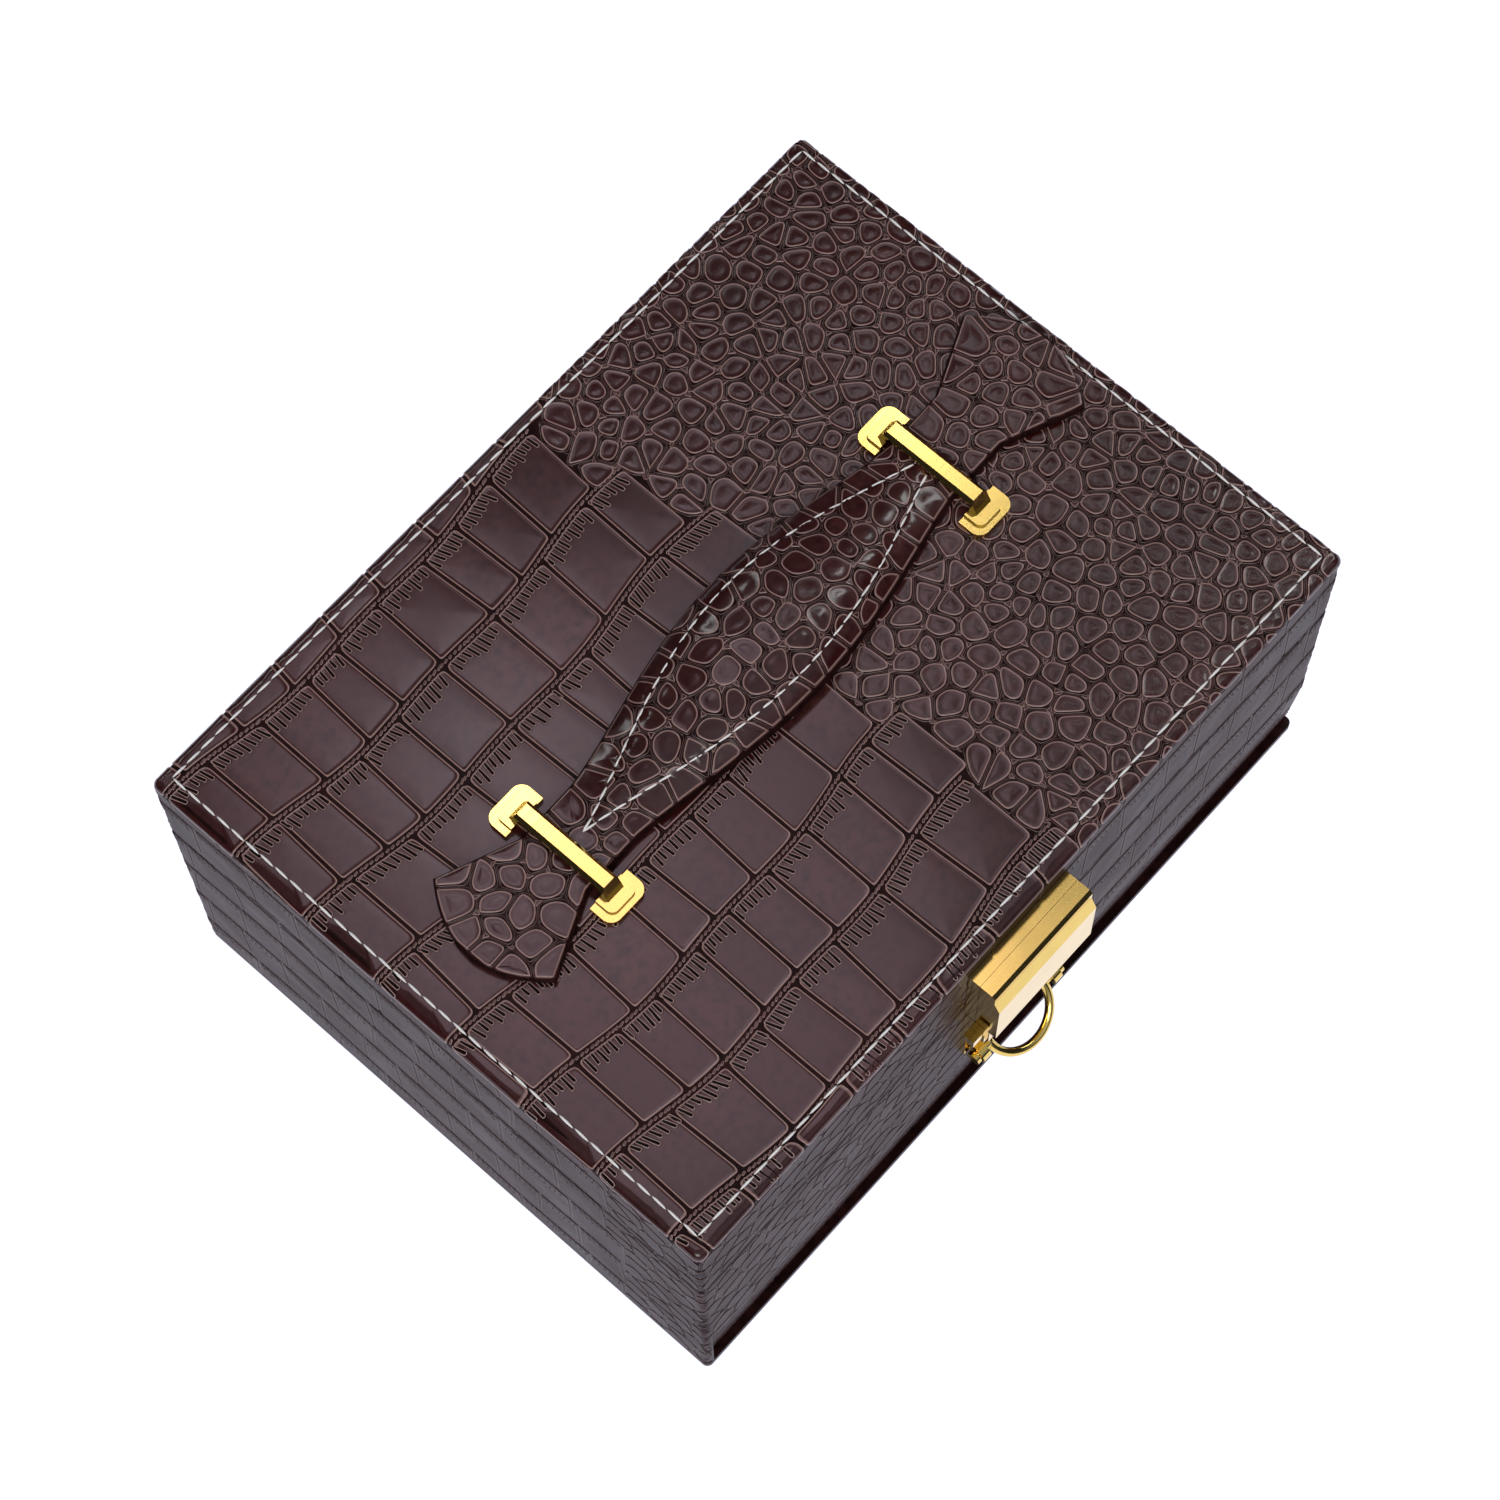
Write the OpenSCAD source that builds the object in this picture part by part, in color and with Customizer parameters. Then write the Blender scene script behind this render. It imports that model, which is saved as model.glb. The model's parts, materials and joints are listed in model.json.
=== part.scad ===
// Leather-covered jewellery case: hinged lid, lift-out tray, latch with a pull ring, and a padded strap.
// Origin: bottom centre of the case. X runs along the front, -Y is the front, Z is up. Millimetres.

/* [Case] */
// Length of the case along the front
case_w = 230; // [220:1:240]
// Depth of the case from front to back
case_d = 173; // [168:1:180]
// Height of the case without the handle
case_h = 110; // [108:1:116]
// Height of the lower edge of the lid's seam
seam_z = 79.2; // [78.5:0.1:79.4]
// Gap between the body's rim and the lid
seam_gap = 0.6; // [0.5:0.1:1]
// Thickness of the wooden walls
wood_t = 5.2; // [4.5:0.1:6]
// Thickness of the outer leather
leather_t = 1.4; // [1:0.1:1.6]
// Thickness of the velvet lining
lining_t = 1.2; // [0.8:0.1:1.4]
// Radius of the case's upright corners and of the rolled edge of the lid
corner_r = 1.8; // [1.5:0.1:3]
// How far the foot of the front face is set back
foot_step = 2.4; // [2:0.1:2.6]
// Height at which the set-back foot meets the plain front face
foot_top = 30; // [26:1:34]

/* [Tray] */
// Height of the underside of the lift-out tray
tray_z = 59; // [58.5:0.1:59.5]
// Height of the tray's walls
tray_h = 18; // [16:0.5:18]
// Number of padded ring rolls in the tray
roll_count = 5; // [3:1:5]

/* [Latch] */
// Centre of the latch along the front
latch_x = -4.5; // [-6:0.1:-3]
// Width of the latch
latch_w = 35; // [33:0.5:36]
// Radius of the pull ring's centre line
ring_r = 10.2; // [9.5:0.1:10.5]
// Radius of the pull ring's wire
wire_r = 1.2; // [1:0.1:1.3]
// Angle that the pull ring stands out from the wall
ring_tilt = 45; // [40:1:50]

/* [Handle] */
// Distance between the two bridges
bridge_gap = 130.5; // [126:0.5:132]
// Length of the strap from tip to tip
strap_len = 208.6; // [206:0.2:212]
// Width of the padded middle of the strap
strap_w = 37; // [34:0.5:38]
// Width of the strap where it runs under a bridge
neck_w = 20.4; // [19:0.2:21]
// Width of the tabs at the ends of the strap
tab_w = 38; // [34:0.5:39]
// Turn of the strap on the lid, as it lies in its bridges
strap_turn = 0.9; // [0:0.1:0.9]

/* [Hidden] */
$fn = 48;
half_w = case_w / 2;
half_d = case_d / 2;
wall_t = leather_t + wood_t;
in_w = half_w - wall_t;
in_d = half_d - wall_t;
cavity_w = in_w - lining_t;
cavity_d = in_d - lining_t;
cover_t = 0.6;
board_top = 3;
floor_z = board_top + lining_t;
lid_z = seam_z + seam_gap;
rim_t = 0.8;
lid_board_t = 5;
foam_t = 1.6;
foam_z = case_h - leather_t - foam_t;
lid_board_z = foam_z - lid_board_t;
ceiling_z = lid_board_z - lining_t;
mirror_w = 84;
mirror_d = 58;
mirror_t = 1.6;
frame_t = 2.6;
frame_w = 7;
divider_t = 3;
divider_h = 38;
bay_x = 36;
rest_t = 4.5;
rest_w = 5;
tray_w = cavity_w - 0.8;
tray_d = cavity_d - 0.8;
tray_wall = 3;
tray_floor_t = 2.5;
tray_split_y = 8;
tray_bay_x = 34;
roll_r = 5.4;
roll_pitch = (tray_d - tray_wall - tray_split_y - 0.5 * tray_wall) / roll_count;
front_y = -half_d;
hinge_x = 72;
knuckle_r = 2.2;
pin_r = 1;
pin_fit = 0.06;
hinge_y = half_d + knuckle_r + 0.2;
hinge_z = seam_z + 0.5 * seam_gap;
knuckle_l = 8;
leaf_w = 3 * knuckle_l + 0.4;
leaf_t = 1.2;
leaf_h = 13;
latch_l = latch_x - 0.5 * latch_w;
latch_r = latch_x + 0.5 * latch_w;
plate_y = front_y - 1.8;
lock_z = 65;
lock_top = 75;
lock_y = front_y - 7.6;
hasp_z = 75.5;
tongue_y = front_y - 5.5;
tongue_w = 16;
pivot_y = front_y - 3.7;
pivot_z = 41.5;
lug_t = 2.6;
bolt_z = 70;
bolt_y = [lock_y + 1.3, plate_y - 1.2];
strap_x = 7.3;
strap_y = 2.3;
strap_lift = 0.3;
strap_t = 3.2;
bridge_x = 1.65;
bridge_y = 1.2;
bridge_open = 26.6;
bar_w = 5.2;
bar_z = 115.3;
bar_t = 1.9;
foot_l = 12.8;
foot_w = 7;
tiny = 0.05;

leather = [0.22, 0.15, 0.15];
gold = [0.85, 0.70, 0.32];
wood = [0.66, 0.52, 0.36];
velvet = [0.62, 0.56, 0.48];
steel = [0.75, 0.75, 0.76];

// ---- shared shapes ----

// A block between two corners.
module slab(x, y, z) {
    translate([x[0], y[0], z[0]]) cube([x[1] - x[0], y[1] - y[0], z[1] - z[0]]);
}

// A rectangle with round corners, centred on the origin.
module round_plate(w, d, h, r) {
    linear_extrude(h) union() {
        square([w - 2 * r, d], center = true);
        square([w, d - 2 * r], center = true);
        for (x = [-1, 1], y = [-1, 1]) translate([x * (0.5 * w - r), y * (0.5 * d - r)]) circle(r);
    }
}

// A profile of [y, z] points drawn out along X from x0 to x1.
module along_x(x0, x1, points) {
    translate([x0, 0, 0]) rotate([90, 0, 90]) linear_extrude(x1 - x0) polygon(points);
}

// ---- the body of the case ----

module base_cover() {
    color("black") round_plate(case_w - 2, case_d - 2, cover_t, corner_r);
}

module base_board() {
    color(leather) translate([0, 0, cover_t]) round_plate(case_w, case_d, board_top - cover_t, corner_r);
}

// The front wall leans back at its foot, behind the set-back leather.
module front_wall() {
    y = front_y + leather_t;
    color(wood) along_x(-in_w, in_w, [[y + foot_step, board_top], [-in_d, board_top],
        [-in_d, seam_z - rim_t], [y, seam_z - rim_t], [y, foot_top]]);
}

module back_wall() {
    color(wood) slab([-in_w, in_w], [in_d, half_d - leather_t], [board_top, seam_z - rim_t]);
}

module side_wall(side) {
    y = front_y + leather_t;
    x = side > 0 ? in_w : leather_t - half_w;
    color(wood) along_x(x, x + wood_t, [[y + foot_step, board_top], [-y, board_top],
        [-y, seam_z - rim_t], [y, seam_z - rim_t], [y, foot_top]]);
}

module left_wall() {
    side_wall(-1);
}

module right_wall() {
    side_wall(1);
}

// One wrap of leather, turned over the rim of the walls and set back along the front foot.
module body_leather() {
    y = front_y;
    color(leather) difference() {
        translate([0, 0, board_top]) round_plate(case_w, case_d, seam_z - board_top, corner_r);
        along_x(-half_w + foot_step, half_w + 1, [[y - 1, board_top - 1], [y + foot_step, board_top - 1],
            [y + foot_step, board_top], [y, foot_top], [y - 1, foot_top]]);
        along_x(leather_t - half_w, half_w - leather_t, [[y + leather_t + foot_step, board_top - 1],
            [half_d - leather_t, board_top - 1], [half_d - leather_t, seam_z - rim_t],
            [y + leather_t, seam_z - rim_t], [y + leather_t, foot_top],
            [y + leather_t + foot_step, board_top]]);
        slab([-in_w, in_w], [-in_d, in_d], [seam_z - 2, seam_z + 1]);
    }
}

module body_lining() {
    color(velvet) difference() {
        slab([-in_w, in_w], [-in_d, in_d], [board_top, seam_z]);
        slab([-cavity_w, cavity_w], [-cavity_d, cavity_d], [floor_z, seam_z + 1]);
    }
}

module divider_long() {
    color(velvet) slab([-cavity_w, cavity_w], [0, divider_t], [floor_z, floor_z + divider_h]);
}

module divider_cross(x) {
    color(velvet) translate([x, 0, 0])
        slab([-0.5 * divider_t, 0.5 * divider_t], [-cavity_d, 0], [floor_z, floor_z + divider_h]);
}

module divider_left() {
    divider_cross(-bay_x);
}

module divider_right() {
    divider_cross(bay_x);
}

// Ledges glued to the lining of the side walls, which carry the tray.
module tray_rest(side) {
    color(velvet) mirror([side > 0 ? 0 : 1, 0, 0])
        slab([cavity_w - rest_w, cavity_w], [-cavity_d, cavity_d], [tray_z - tiny - rest_t, tray_z - tiny]);
}

module tray_rest_left() {
    tray_rest(-1);
}

module tray_rest_right() {
    tray_rest(1);
}

// ---- hinges ----

// One knuckle along X, with the bore for the pin.
module knuckle(x, bore_r) {
    translate([x, hinge_y, hinge_z]) rotate([0, 90, 0]) difference() {
        cylinder(h = knuckle_l, r = knuckle_r);
        translate([0, 0, -1]) cylinder(h = knuckle_l + 2, r = bore_r);
    }
}

// The leaf on the body: two outer knuckles and a plate with two screw holes.
module body_leaf(x) {
    color(gold) difference() {
        union() {
            translate([x, 0, 0]) slab([-0.5 * leaf_w, 0.5 * leaf_w], [half_d, half_d + leaf_t],
                [hinge_z - leaf_h, hinge_z - knuckle_r - 0.3]);
            for (s = [-0.5 * leaf_w, 0.5 * leaf_w - knuckle_l]) {
                knuckle(x + s, pin_r);
                translate([x + s, 0, 0]) slab([0, knuckle_l], [half_d, half_d + leaf_t],
                    [hinge_z - knuckle_r - 1, hinge_z - 0.4]);
            }
        }
        leaf_holes(x, hinge_z - 8);
    }
}

// The leaf on the lid: one middle knuckle that turns on the pin.
module lid_leaf(x) {
    color(gold) difference() {
        union() {
            translate([x, 0, 0]) slab([-0.5 * leaf_w, 0.5 * leaf_w], [half_d, half_d + leaf_t],
                [hinge_z + knuckle_r + 0.3, hinge_z + leaf_h]);
            knuckle(x - 0.5 * knuckle_l, pin_r + pin_fit);
            translate([x, 0, 0]) slab([-0.5 * knuckle_l, 0.5 * knuckle_l], [half_d, half_d + leaf_t],
                [hinge_z + 0.4, hinge_z + knuckle_r + 1]);
        }
        leaf_holes(x, hinge_z + 8);
    }
}

module leaf_holes(x, z) {
    for (s = [-7, 7]) translate([x + s, half_d - 1, z]) rotate([-90, 0, 0]) cylinder(h = 5, r = 1.1);
}

module leaf_pin(x) {
    color(steel) translate([x - 0.5 * leaf_w, hinge_y, hinge_z]) rotate([0, 90, 0])
        cylinder(h = leaf_w, r = pin_r);
}

// Round-headed screws: the shank fills the leaf's hole and the slotted head lies on the leaf.
module leaf_screws(z) {
    color(gold) for (x = [-hinge_x, hinge_x], s = [-7, 7])
        translate([x + s, half_d, z]) rotate([-90, 0, 0]) difference() {
            union() {
                cylinder(h = leaf_t, r = 1.05);
                translate([0, 0, leaf_t]) cylinder(h = 0.8, r = 2);
            }
            translate([-2, -0.2, leaf_t + 0.4]) cube([4, 0.4, 1]);
        }
}

module hinge_body_left() {
    body_leaf(-hinge_x);
}

module hinge_body_right() {
    body_leaf(hinge_x);
}

module hinge_pin_left() {
    leaf_pin(-hinge_x);
}

module hinge_pin_right() {
    leaf_pin(hinge_x);
}

module hinge_lid_left() {
    lid_leaf(-hinge_x);
}

module hinge_lid_right() {
    lid_leaf(hinge_x);
}

module body_screws() {
    leaf_screws(hinge_z - 8);
}

module lid_screws() {
    leaf_screws(hinge_z + 8);
}

// ---- latch ----

// Back plate on the body, with the two lugs that hold the pull ring.
module lock_plate() {
    lug_x = ring_r + 2;
    color(gold) difference() {
        union() {
            slab([latch_l, latch_r], [plate_y, front_y], [pivot_z + 3, lock_top]);
            for (s = [-1, 1]) translate([latch_x + s * (lug_x + 0.5 * lug_t), pivot_y, pivot_z])
                rotate([0, 90, 0]) cylinder(h = lug_t, r = 2.6, center = true);
            for (s = [-1, 1]) translate([latch_x + s * (lug_x + 0.5 * lug_t), 0, 0])
                slab([-0.5 * lug_t, 0.5 * lug_t], [pivot_y, front_y], [pivot_z - 2.6, pivot_z + 4]);
        }
        translate([latch_x, pivot_y, pivot_z]) rotate([0, 90, 0])
            cylinder(h = latch_w, r = wire_r + 0.05, center = true);
    }
}

// Hollow lock case with a slot in its top for the tongue and a hole in its side for the bolt.
module lock_case() {
    color(gold) difference() {
        union() {
            slab([latch_l, latch_r], [lock_y + 0.8, plate_y - tiny], [lock_z, lock_top]);
            slab([latch_l + 0.8, latch_r - 0.8], [lock_y, lock_y + 1], [lock_z + 0.8, lock_top]);
        }
        slab([latch_l + 1.5, latch_r - 1.5], [lock_y + 1, plate_y - 1], [lock_z + 1, lock_top - 1.5]);
        slab([latch_x - 0.5 * tongue_w - 0.6, latch_x + 0.5 * tongue_w + 0.6],
            [tongue_y - 1.1, tongue_y + 1.2], [lock_top - 3, lock_top + 1]);
        slab([latch_l - 1, latch_l + 2], [bolt_y[0] - 0.1, bolt_y[1] + 0.1], [bolt_z - 1.8, bolt_z + 1.8]);
    }
}

// Sliding bolt; its outer end stands out of the left end of the lock and is pushed in to lock it.
module catch_bolt() {
    x = latch_x - 0.5 * tongue_w;
    color(gold) slab([latch_l - 3.4, x - 0.5], bolt_y, [bolt_z - 1.7, bolt_z + 1.7]);
}

module hasp_plate() {
    color(gold) slab([latch_l, latch_r], [front_y - 3.6, front_y - 0.2], [hasp_z, case_h - 7.5]);
}

// The cover of the hasp, bevelled along its top and open below for the tongue.
module hasp_block() {
    y = front_y;
    color(gold) difference() {
        along_x(latch_l, latch_r, [[y - 3.7, hasp_z], [y - 3.7, case_h - 7.5], [y - 7.3, case_h - 7.5],
            [y - 8.3, case_h - 8.5], [y - 8.3, case_h - 11.5], [y - 10, case_h - 15], [y - 10, hasp_z]]);
        slab([latch_l + 2, latch_r - 2], [y - 8, y - 4.7], [hasp_z - 1, case_h - 18]);
        slab([latch_l - 1, latch_l + 3], [y - 8, y - 4.7], [hasp_z + 4.5, hasp_z + 7.5]);
    }
}

// Steel tongue under the hasp, notched on its left edge for the bolt.
module hasp_tongue() {
    x0 = latch_x - 0.5 * tongue_w;
    color(steel) difference() {
        slab([x0, x0 + tongue_w], [tongue_y - 0.6, tongue_y + 0.6], [bolt_z - 3, case_h - 18.1]);
        slab([x0 - 1, x0 + 3.6], [tongue_y - 1, tongue_y + 1], [bolt_z - 2, bolt_z + 2]);
    }
}

// Half ring that hangs in the lugs and stands out from the wall.
module pull_ring() {
    color(gold) translate([latch_x, pivot_y, pivot_z]) rotate([-ring_tilt, 0, 0]) union() {
        rotate([90, 0, 0]) mirror([0, 1, 0]) rotate_extrude(angle = 180) translate([ring_r, 0]) circle(wire_r);
        for (s = [-1, 1]) {
            translate([s * ring_r, 0, 0]) sphere(wire_r);
            translate([s * ring_r, 0, 0]) rotate([0, s * 90, 0]) cylinder(h = lug_t + 2.3, r = wire_r);
            translate([s * (ring_r + lug_t + 2.3), 0, 0]) rotate([0, s * 90, 0]) cylinder(h = 1.2, r = 1.9);
        }
    }
}

// ---- the lid ----

module lid_board() {
    color(wood) difference() {
        slab([-half_w + leather_t, half_w - leather_t], [-half_d + leather_t, half_d - leather_t],
            [lid_board_z, foam_z]);
        stud_holes(1.6);
    }
}

module lid_rail_x(side) {
    y = side > 0 ? in_d : leather_t - half_d;
    color(wood) slab([-in_w, in_w], [y, y + wood_t], [lid_z + rim_t, lid_board_z]);
}

module lid_rail_y(side) {
    x = side > 0 ? in_w : leather_t - half_w;
    color(wood) slab([x, x + wood_t], [leather_t - half_d, half_d - leather_t], [lid_z + rim_t, lid_board_z]);
}

module lid_front_rail() {
    lid_rail_x(-1);
}

module lid_back_rail() {
    lid_rail_x(1);
}

module lid_left_rail() {
    lid_rail_y(-1);
}

module lid_right_rail() {
    lid_rail_y(1);
}

module lid_foam() {
    color("white") difference() {
        slab([-half_w + 4, half_w - 4], [-half_d + 4, half_d - 4], [foam_z, foam_z + foam_t]);
        stud_holes(1.6);
    }
}

// Leather over the lid, with a rolled upper edge and a turned-under rim.
module lid_leather() {
    r = corner_r;
    color(leather) difference() {
        hull() for (x = [-1, 1], y = [-1, 1]) translate([x * (half_w - r), y * (half_d - r), 0]) {
            translate([0, 0, lid_z]) cylinder(h = case_h - r - lid_z, r = r, $fn = 32);
            translate([0, 0, case_h - r]) sphere(r, $fn = 32);
        }
        slab([-half_w + leather_t, half_w - leather_t], [-half_d + leather_t, half_d - leather_t],
            [lid_z + rim_t, foam_z]);
        slab([-half_w + 4, half_w - 4], [-half_d + 4, half_d - 4], [foam_z - 1, foam_z + foam_t]);
        slab([-in_w, in_w], [-in_d, in_d], [lid_z - 1, lid_z + 2]);
        stud_holes(1.6);
    }
}

module lid_lining() {
    color(velvet) difference() {
        slab([-in_w, in_w], [-in_d, in_d], [lid_z, lid_board_z]);
        slab([-cavity_w, cavity_w], [-cavity_d, cavity_d], [lid_z - 1, ceiling_z]);
        for (s = [-1, 1], t = [-1, 1]) stud_place(s, t) translate([0, 0, -30]) cylinder(h = 30, r = 3.6);
    }
}

module mirror_frame() {
    color(gold) difference() {
        slab([-mirror_w - frame_w, mirror_w + frame_w], [-mirror_d - frame_w, mirror_d + frame_w],
            [ceiling_z - frame_t, ceiling_z]);
        slab([-mirror_w, mirror_w], [-mirror_d, mirror_d], [ceiling_z - frame_t - 1, ceiling_z + 1]);
    }
}

module mirror_glass() {
    color("silver") slab([-mirror_w, mirror_w], [-mirror_d, mirror_d], [ceiling_z - mirror_t, ceiling_z]);
}

// ---- the handle ----

// Places its children at one of the four studs that hold the bridges, on the underside of the board.
module stud_place(s, t) {
    translate([bridge_x + s * 0.5 * bridge_gap, bridge_y + t * 0.5 * (bridge_open + foot_w), lid_board_z])
        children();
}

module stud_holes(r) {
    for (s = [-1, 1], t = [-1, 1]) stud_place(s, t) translate([0, 0, -1]) cylinder(h = 20, r = r);
}

// One foot: a flange with round outer corners, a raised step, and a stud down through the lid.
module bridge_foot() {
    union() {
        linear_extrude(2) union() {
            translate([-0.5 * foot_l, -0.5 * foot_w]) square([foot_l, foot_w - 3]);
            translate([3 - 0.5 * foot_l, -0.5 * foot_w]) square([foot_l - 6, foot_w]);
            for (s = [-1, 1]) translate([s * (0.5 * foot_l - 3), 0.5 * foot_w - 3]) circle(3);
        }
        linear_extrude(3) union() {
            translate([2 - 0.5 * foot_l, -0.5 * foot_w]) square([foot_l - 4, foot_w - 3.6]);
            translate([4 - 0.5 * foot_l, -0.5 * foot_w]) square([foot_l - 8, foot_w - 1.6]);
            for (s = [-1, 1]) translate([s * (0.5 * foot_l - 4), 0.5 * foot_w - 3.6]) circle(2);
        }
        translate([0, 0, -(case_h - lid_board_z)]) cylinder(h = case_h - lid_board_z + 1, r = 1.5);
    }
}

// A bridge: two feet, and a bar over the strap with sloping ends and a bevel along each side.
module bridge(side) {
    inner = 0.5 * bridge_open;
    top = bar_z + bar_t - case_h;
    rise = bar_z - case_h;
    color(gold) translate([bridge_x + side * 0.5 * bridge_gap, bridge_y, case_h]) union() {
        translate([0, inner + 0.5 * foot_w, 0]) bridge_foot();
        mirror([0, 1, 0]) translate([0, inner + 0.5 * foot_w, 0]) bridge_foot();
        difference() {
            along_x(-0.5 * bar_w, 0.5 * bar_w, [[-inner - 3, 2], [-inner, 2], [-inner, rise], [inner, rise],
                [inner, 2], [inner + 3, 2], [inner + 0.4, top], [-inner - 0.4, top]]);
            for (s = [-1, 1]) translate([s * 0.5 * bar_w, 0, top]) rotate([0, 45, 0])
                cube([1.3, 3 * inner, 1.3], center = true);
        }
    }
}

module bridge_left() {
    bridge(-1);
}

module bridge_right() {
    bridge(1);
}

// Flat nuts and washers on the studs, in pockets of the lining.
module bridge_nuts() {
    color(steel) for (s = [-1, 1], t = [-1, 1]) stud_place(s, t) mirror([0, 0, 1]) {
        cylinder(h = 0.6, r = 3.4);
        translate([0, 0, 0.5]) cylinder(h = 0.6, r = 2.4, $fn = 6);
    }
}

// Half width of the strap at s, measured from its middle along its length.
function strap_half(s) =
    let (a = abs(s), mid = 58, flare = 75, tip = strap_len / 2, corner = tip - 8.5)
    a < mid ? neck_w / 2 + (strap_w - neck_w) / 2 * pow(cos(90 * a / mid), 1.3) :
    a < flare ? neck_w / 2 :
    a < corner ? neck_w / 2 + (tab_w - neck_w) / 2 * (a - flare) / (corner - flare) :
    tab_w / 2 * sqrt(max(0.02, (tip - a) / (tip - corner)));

// Lift of the strap's underside over the lid.
function strap_rise(s) = abs(s) < 58 ? 2.2 * pow(cos(90 * s / 58), 2) : 0;

// Height of the padding over the strap.
function pad_rise(s) = abs(s) < 60 ? 6 * pow(cos(90 * s / 60), 0.6) : 0;

// A closed skin through rings of points, each ring having the same number of points.
module skin(rings) {
    n = len(rings[0]);
    m = len(rings);
    points = [for (ring = rings) each ring];
    sides = [for (i = [0:m - 2], j = [0:n - 1]) let (k = (j + 1) % n) each
        [[i * n + j, i * n + k, (i + 1) * n + k], [i * n + j, (i + 1) * n + k, (i + 1) * n + j]]];
    ends = [[for (j = [n - 1:-1:0]) j], [for (j = [0:n - 1]) (m - 1) * n + j]];
    polyhedron(points = points, faces = concat(sides, ends), convexity = 6);
}

module on_strap() {
    translate([strap_x, strap_y, case_h + strap_lift]) rotate([0, 0, strap_turn]) children();
}

// The flat strap with its widened middle and a pointed tab at each end.
module strap() {
    stations = [-104.3, -103.9, -103, -101.5, -100, -98.3, -95.8, -92, -84, -75, -66, -58, -52, -46, -40,
        -34, -28, -22, -16, -10, -4, 4, 10, 16, 22, 28, 34, 40, 46, 52, 58, 66, 75, 84, 92, 95.8,
        98.3, 100, 101.5, 103, 103.9, 104.3];
    color(leather) on_strap() skin([for (s = stations) let (w = strap_half(s), z = strap_rise(s))
        [[s, -w, z], [s, w, z], [s, w, z + 0.75 * strap_t], [s, 0.9 * w, z + strap_t],
            [s, -0.9 * w, z + strap_t], [s, -w, z + 0.75 * strap_t]]]);
}

// The padded leaf on the strap's middle.
module strap_pad() {
    color(leather) on_strap() skin([for (i = [0:40]) let (s = -59.4 + 2.97 * i,
        w = 0.96 * (strap_half(s) - neck_w / 2) + 0.35 * neck_w * pow(cos(90 * s / 60), 0.5),
        z = strap_rise(s) + strap_t, h = pad_rise(s))
        [for (j = [0:12]) let (a = 180 * j / 12) [s, w * cos(a), z + tiny + h * pow(sin(a), 0.8)]]]);
}

// ---- the lift-out tray ----

module tray_floor() {
    color(velvet) slab([-tray_w, tray_w], [-tray_d, tray_d], [tray_z, tray_z + tray_floor_t]);
}

module tray_wall_x(y) {
    color(velvet) slab([-tray_w, tray_w], [y, y + tray_wall], [tray_z + tray_floor_t, tray_z + tray_h]);
}

module tray_wall_y(x) {
    color(velvet) slab([x, x + tray_wall], [tray_wall - tray_d, tray_d - tray_wall],
        [tray_z + tray_floor_t, tray_z + tray_h]);
}

module tray_front() {
    tray_wall_x(-tray_d);
}

module tray_back() {
    tray_wall_x(tray_d - tray_wall);
}

module tray_left() {
    tray_wall_y(-tray_w);
}

module tray_right() {
    tray_wall_y(tray_w - tray_wall);
}

module tray_divider() {
    color(velvet) slab([tray_wall - tray_w, tray_w - tray_wall],
        [tray_split_y - 0.5 * tray_wall, tray_split_y + 0.5 * tray_wall],
        [tray_z + tray_floor_t, tray_z + tray_h - 2]);
}

module tray_cross(x) {
    color(velvet) translate([x, 0, 0]) slab([-0.5 * tray_wall, 0.5 * tray_wall],
        [tray_wall - tray_d, tray_split_y - 0.5 * tray_wall], [tray_z + tray_floor_t, tray_z + tray_h - 2]);
}

module tray_cross_left() {
    tray_cross(-tray_bay_x);
}

module tray_cross_right() {
    tray_cross(tray_bay_x);
}

// Ribbon pulls that stand up inside the tray's side walls.
module tray_tabs() {
    color(velvet) for (s = [0, 1]) mirror([s, 0, 0])
        slab([tray_w - tray_wall - 1, tray_w - tray_wall], [-34, -16], [tray_z + 6, tray_z + tray_h + 3]);
}

// A ring roll lies along X on the tray's floor; rings are pushed in between two rolls.
module ring_roll(i) {
    y = tray_split_y + 0.5 * tray_wall + roll_pitch * (i - 0.5);
    color(velvet) translate([0, y, tray_z + tray_floor_t + roll_r]) rotate([0, 90, 0])
        cylinder(h = 2 * (tray_w - tray_wall) - 1, r = roll_r, center = true);
}

base_cover();
base_board();
front_wall();
back_wall();
left_wall();
right_wall();
body_leather();
body_lining();
divider_long();
divider_left();
divider_right();
tray_rest_left();
tray_rest_right();
hinge_body_left();
hinge_body_right();
hinge_pin_left();
hinge_pin_right();
body_screws();
lock_plate();
lock_case();
lid_board();
lid_front_rail();
lid_back_rail();
lid_left_rail();
lid_right_rail();
lid_foam();
lid_leather();
lid_lining();
mirror_glass();  // mirror
mirror_frame();
hinge_lid_left();
hinge_lid_right();
lid_screws();
hasp_plate();
hasp_block();
hasp_tongue();
bridge_left();
bridge_right();
bridge_nuts();
strap();
strap_pad();
pull_ring();
catch_bolt();
tray_floor();
tray_front();
tray_back();
tray_left();
tray_right();
tray_divider();
tray_cross_left();
tray_cross_right();
tray_tabs();
ring_roll(1);  // ring_roll_1
ring_roll(2);  // ring_roll_2
ring_roll(3);  // ring_roll_3
ring_roll(4);  // ring_roll_4
ring_roll(5);  // ring_roll_5
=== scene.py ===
# %% [markdown]
# # A leather jewellery case
# The case is a wooden box covered with embossed leather. Its frame, hinges, latch, bridges and tray are
# already solids, so this lesson loads them and adds what a solid can't show: the embossed scales, the
# stitches, the padding of the strap and of the ring rolls, and the finish of every surface. The solids
# could be modelled again here, but loading them keeps every joint and every size as it is.

# %% Load the frame
import json
import math
import bpy
import numpy as np
from mathutils import Matrix, Vector


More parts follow.
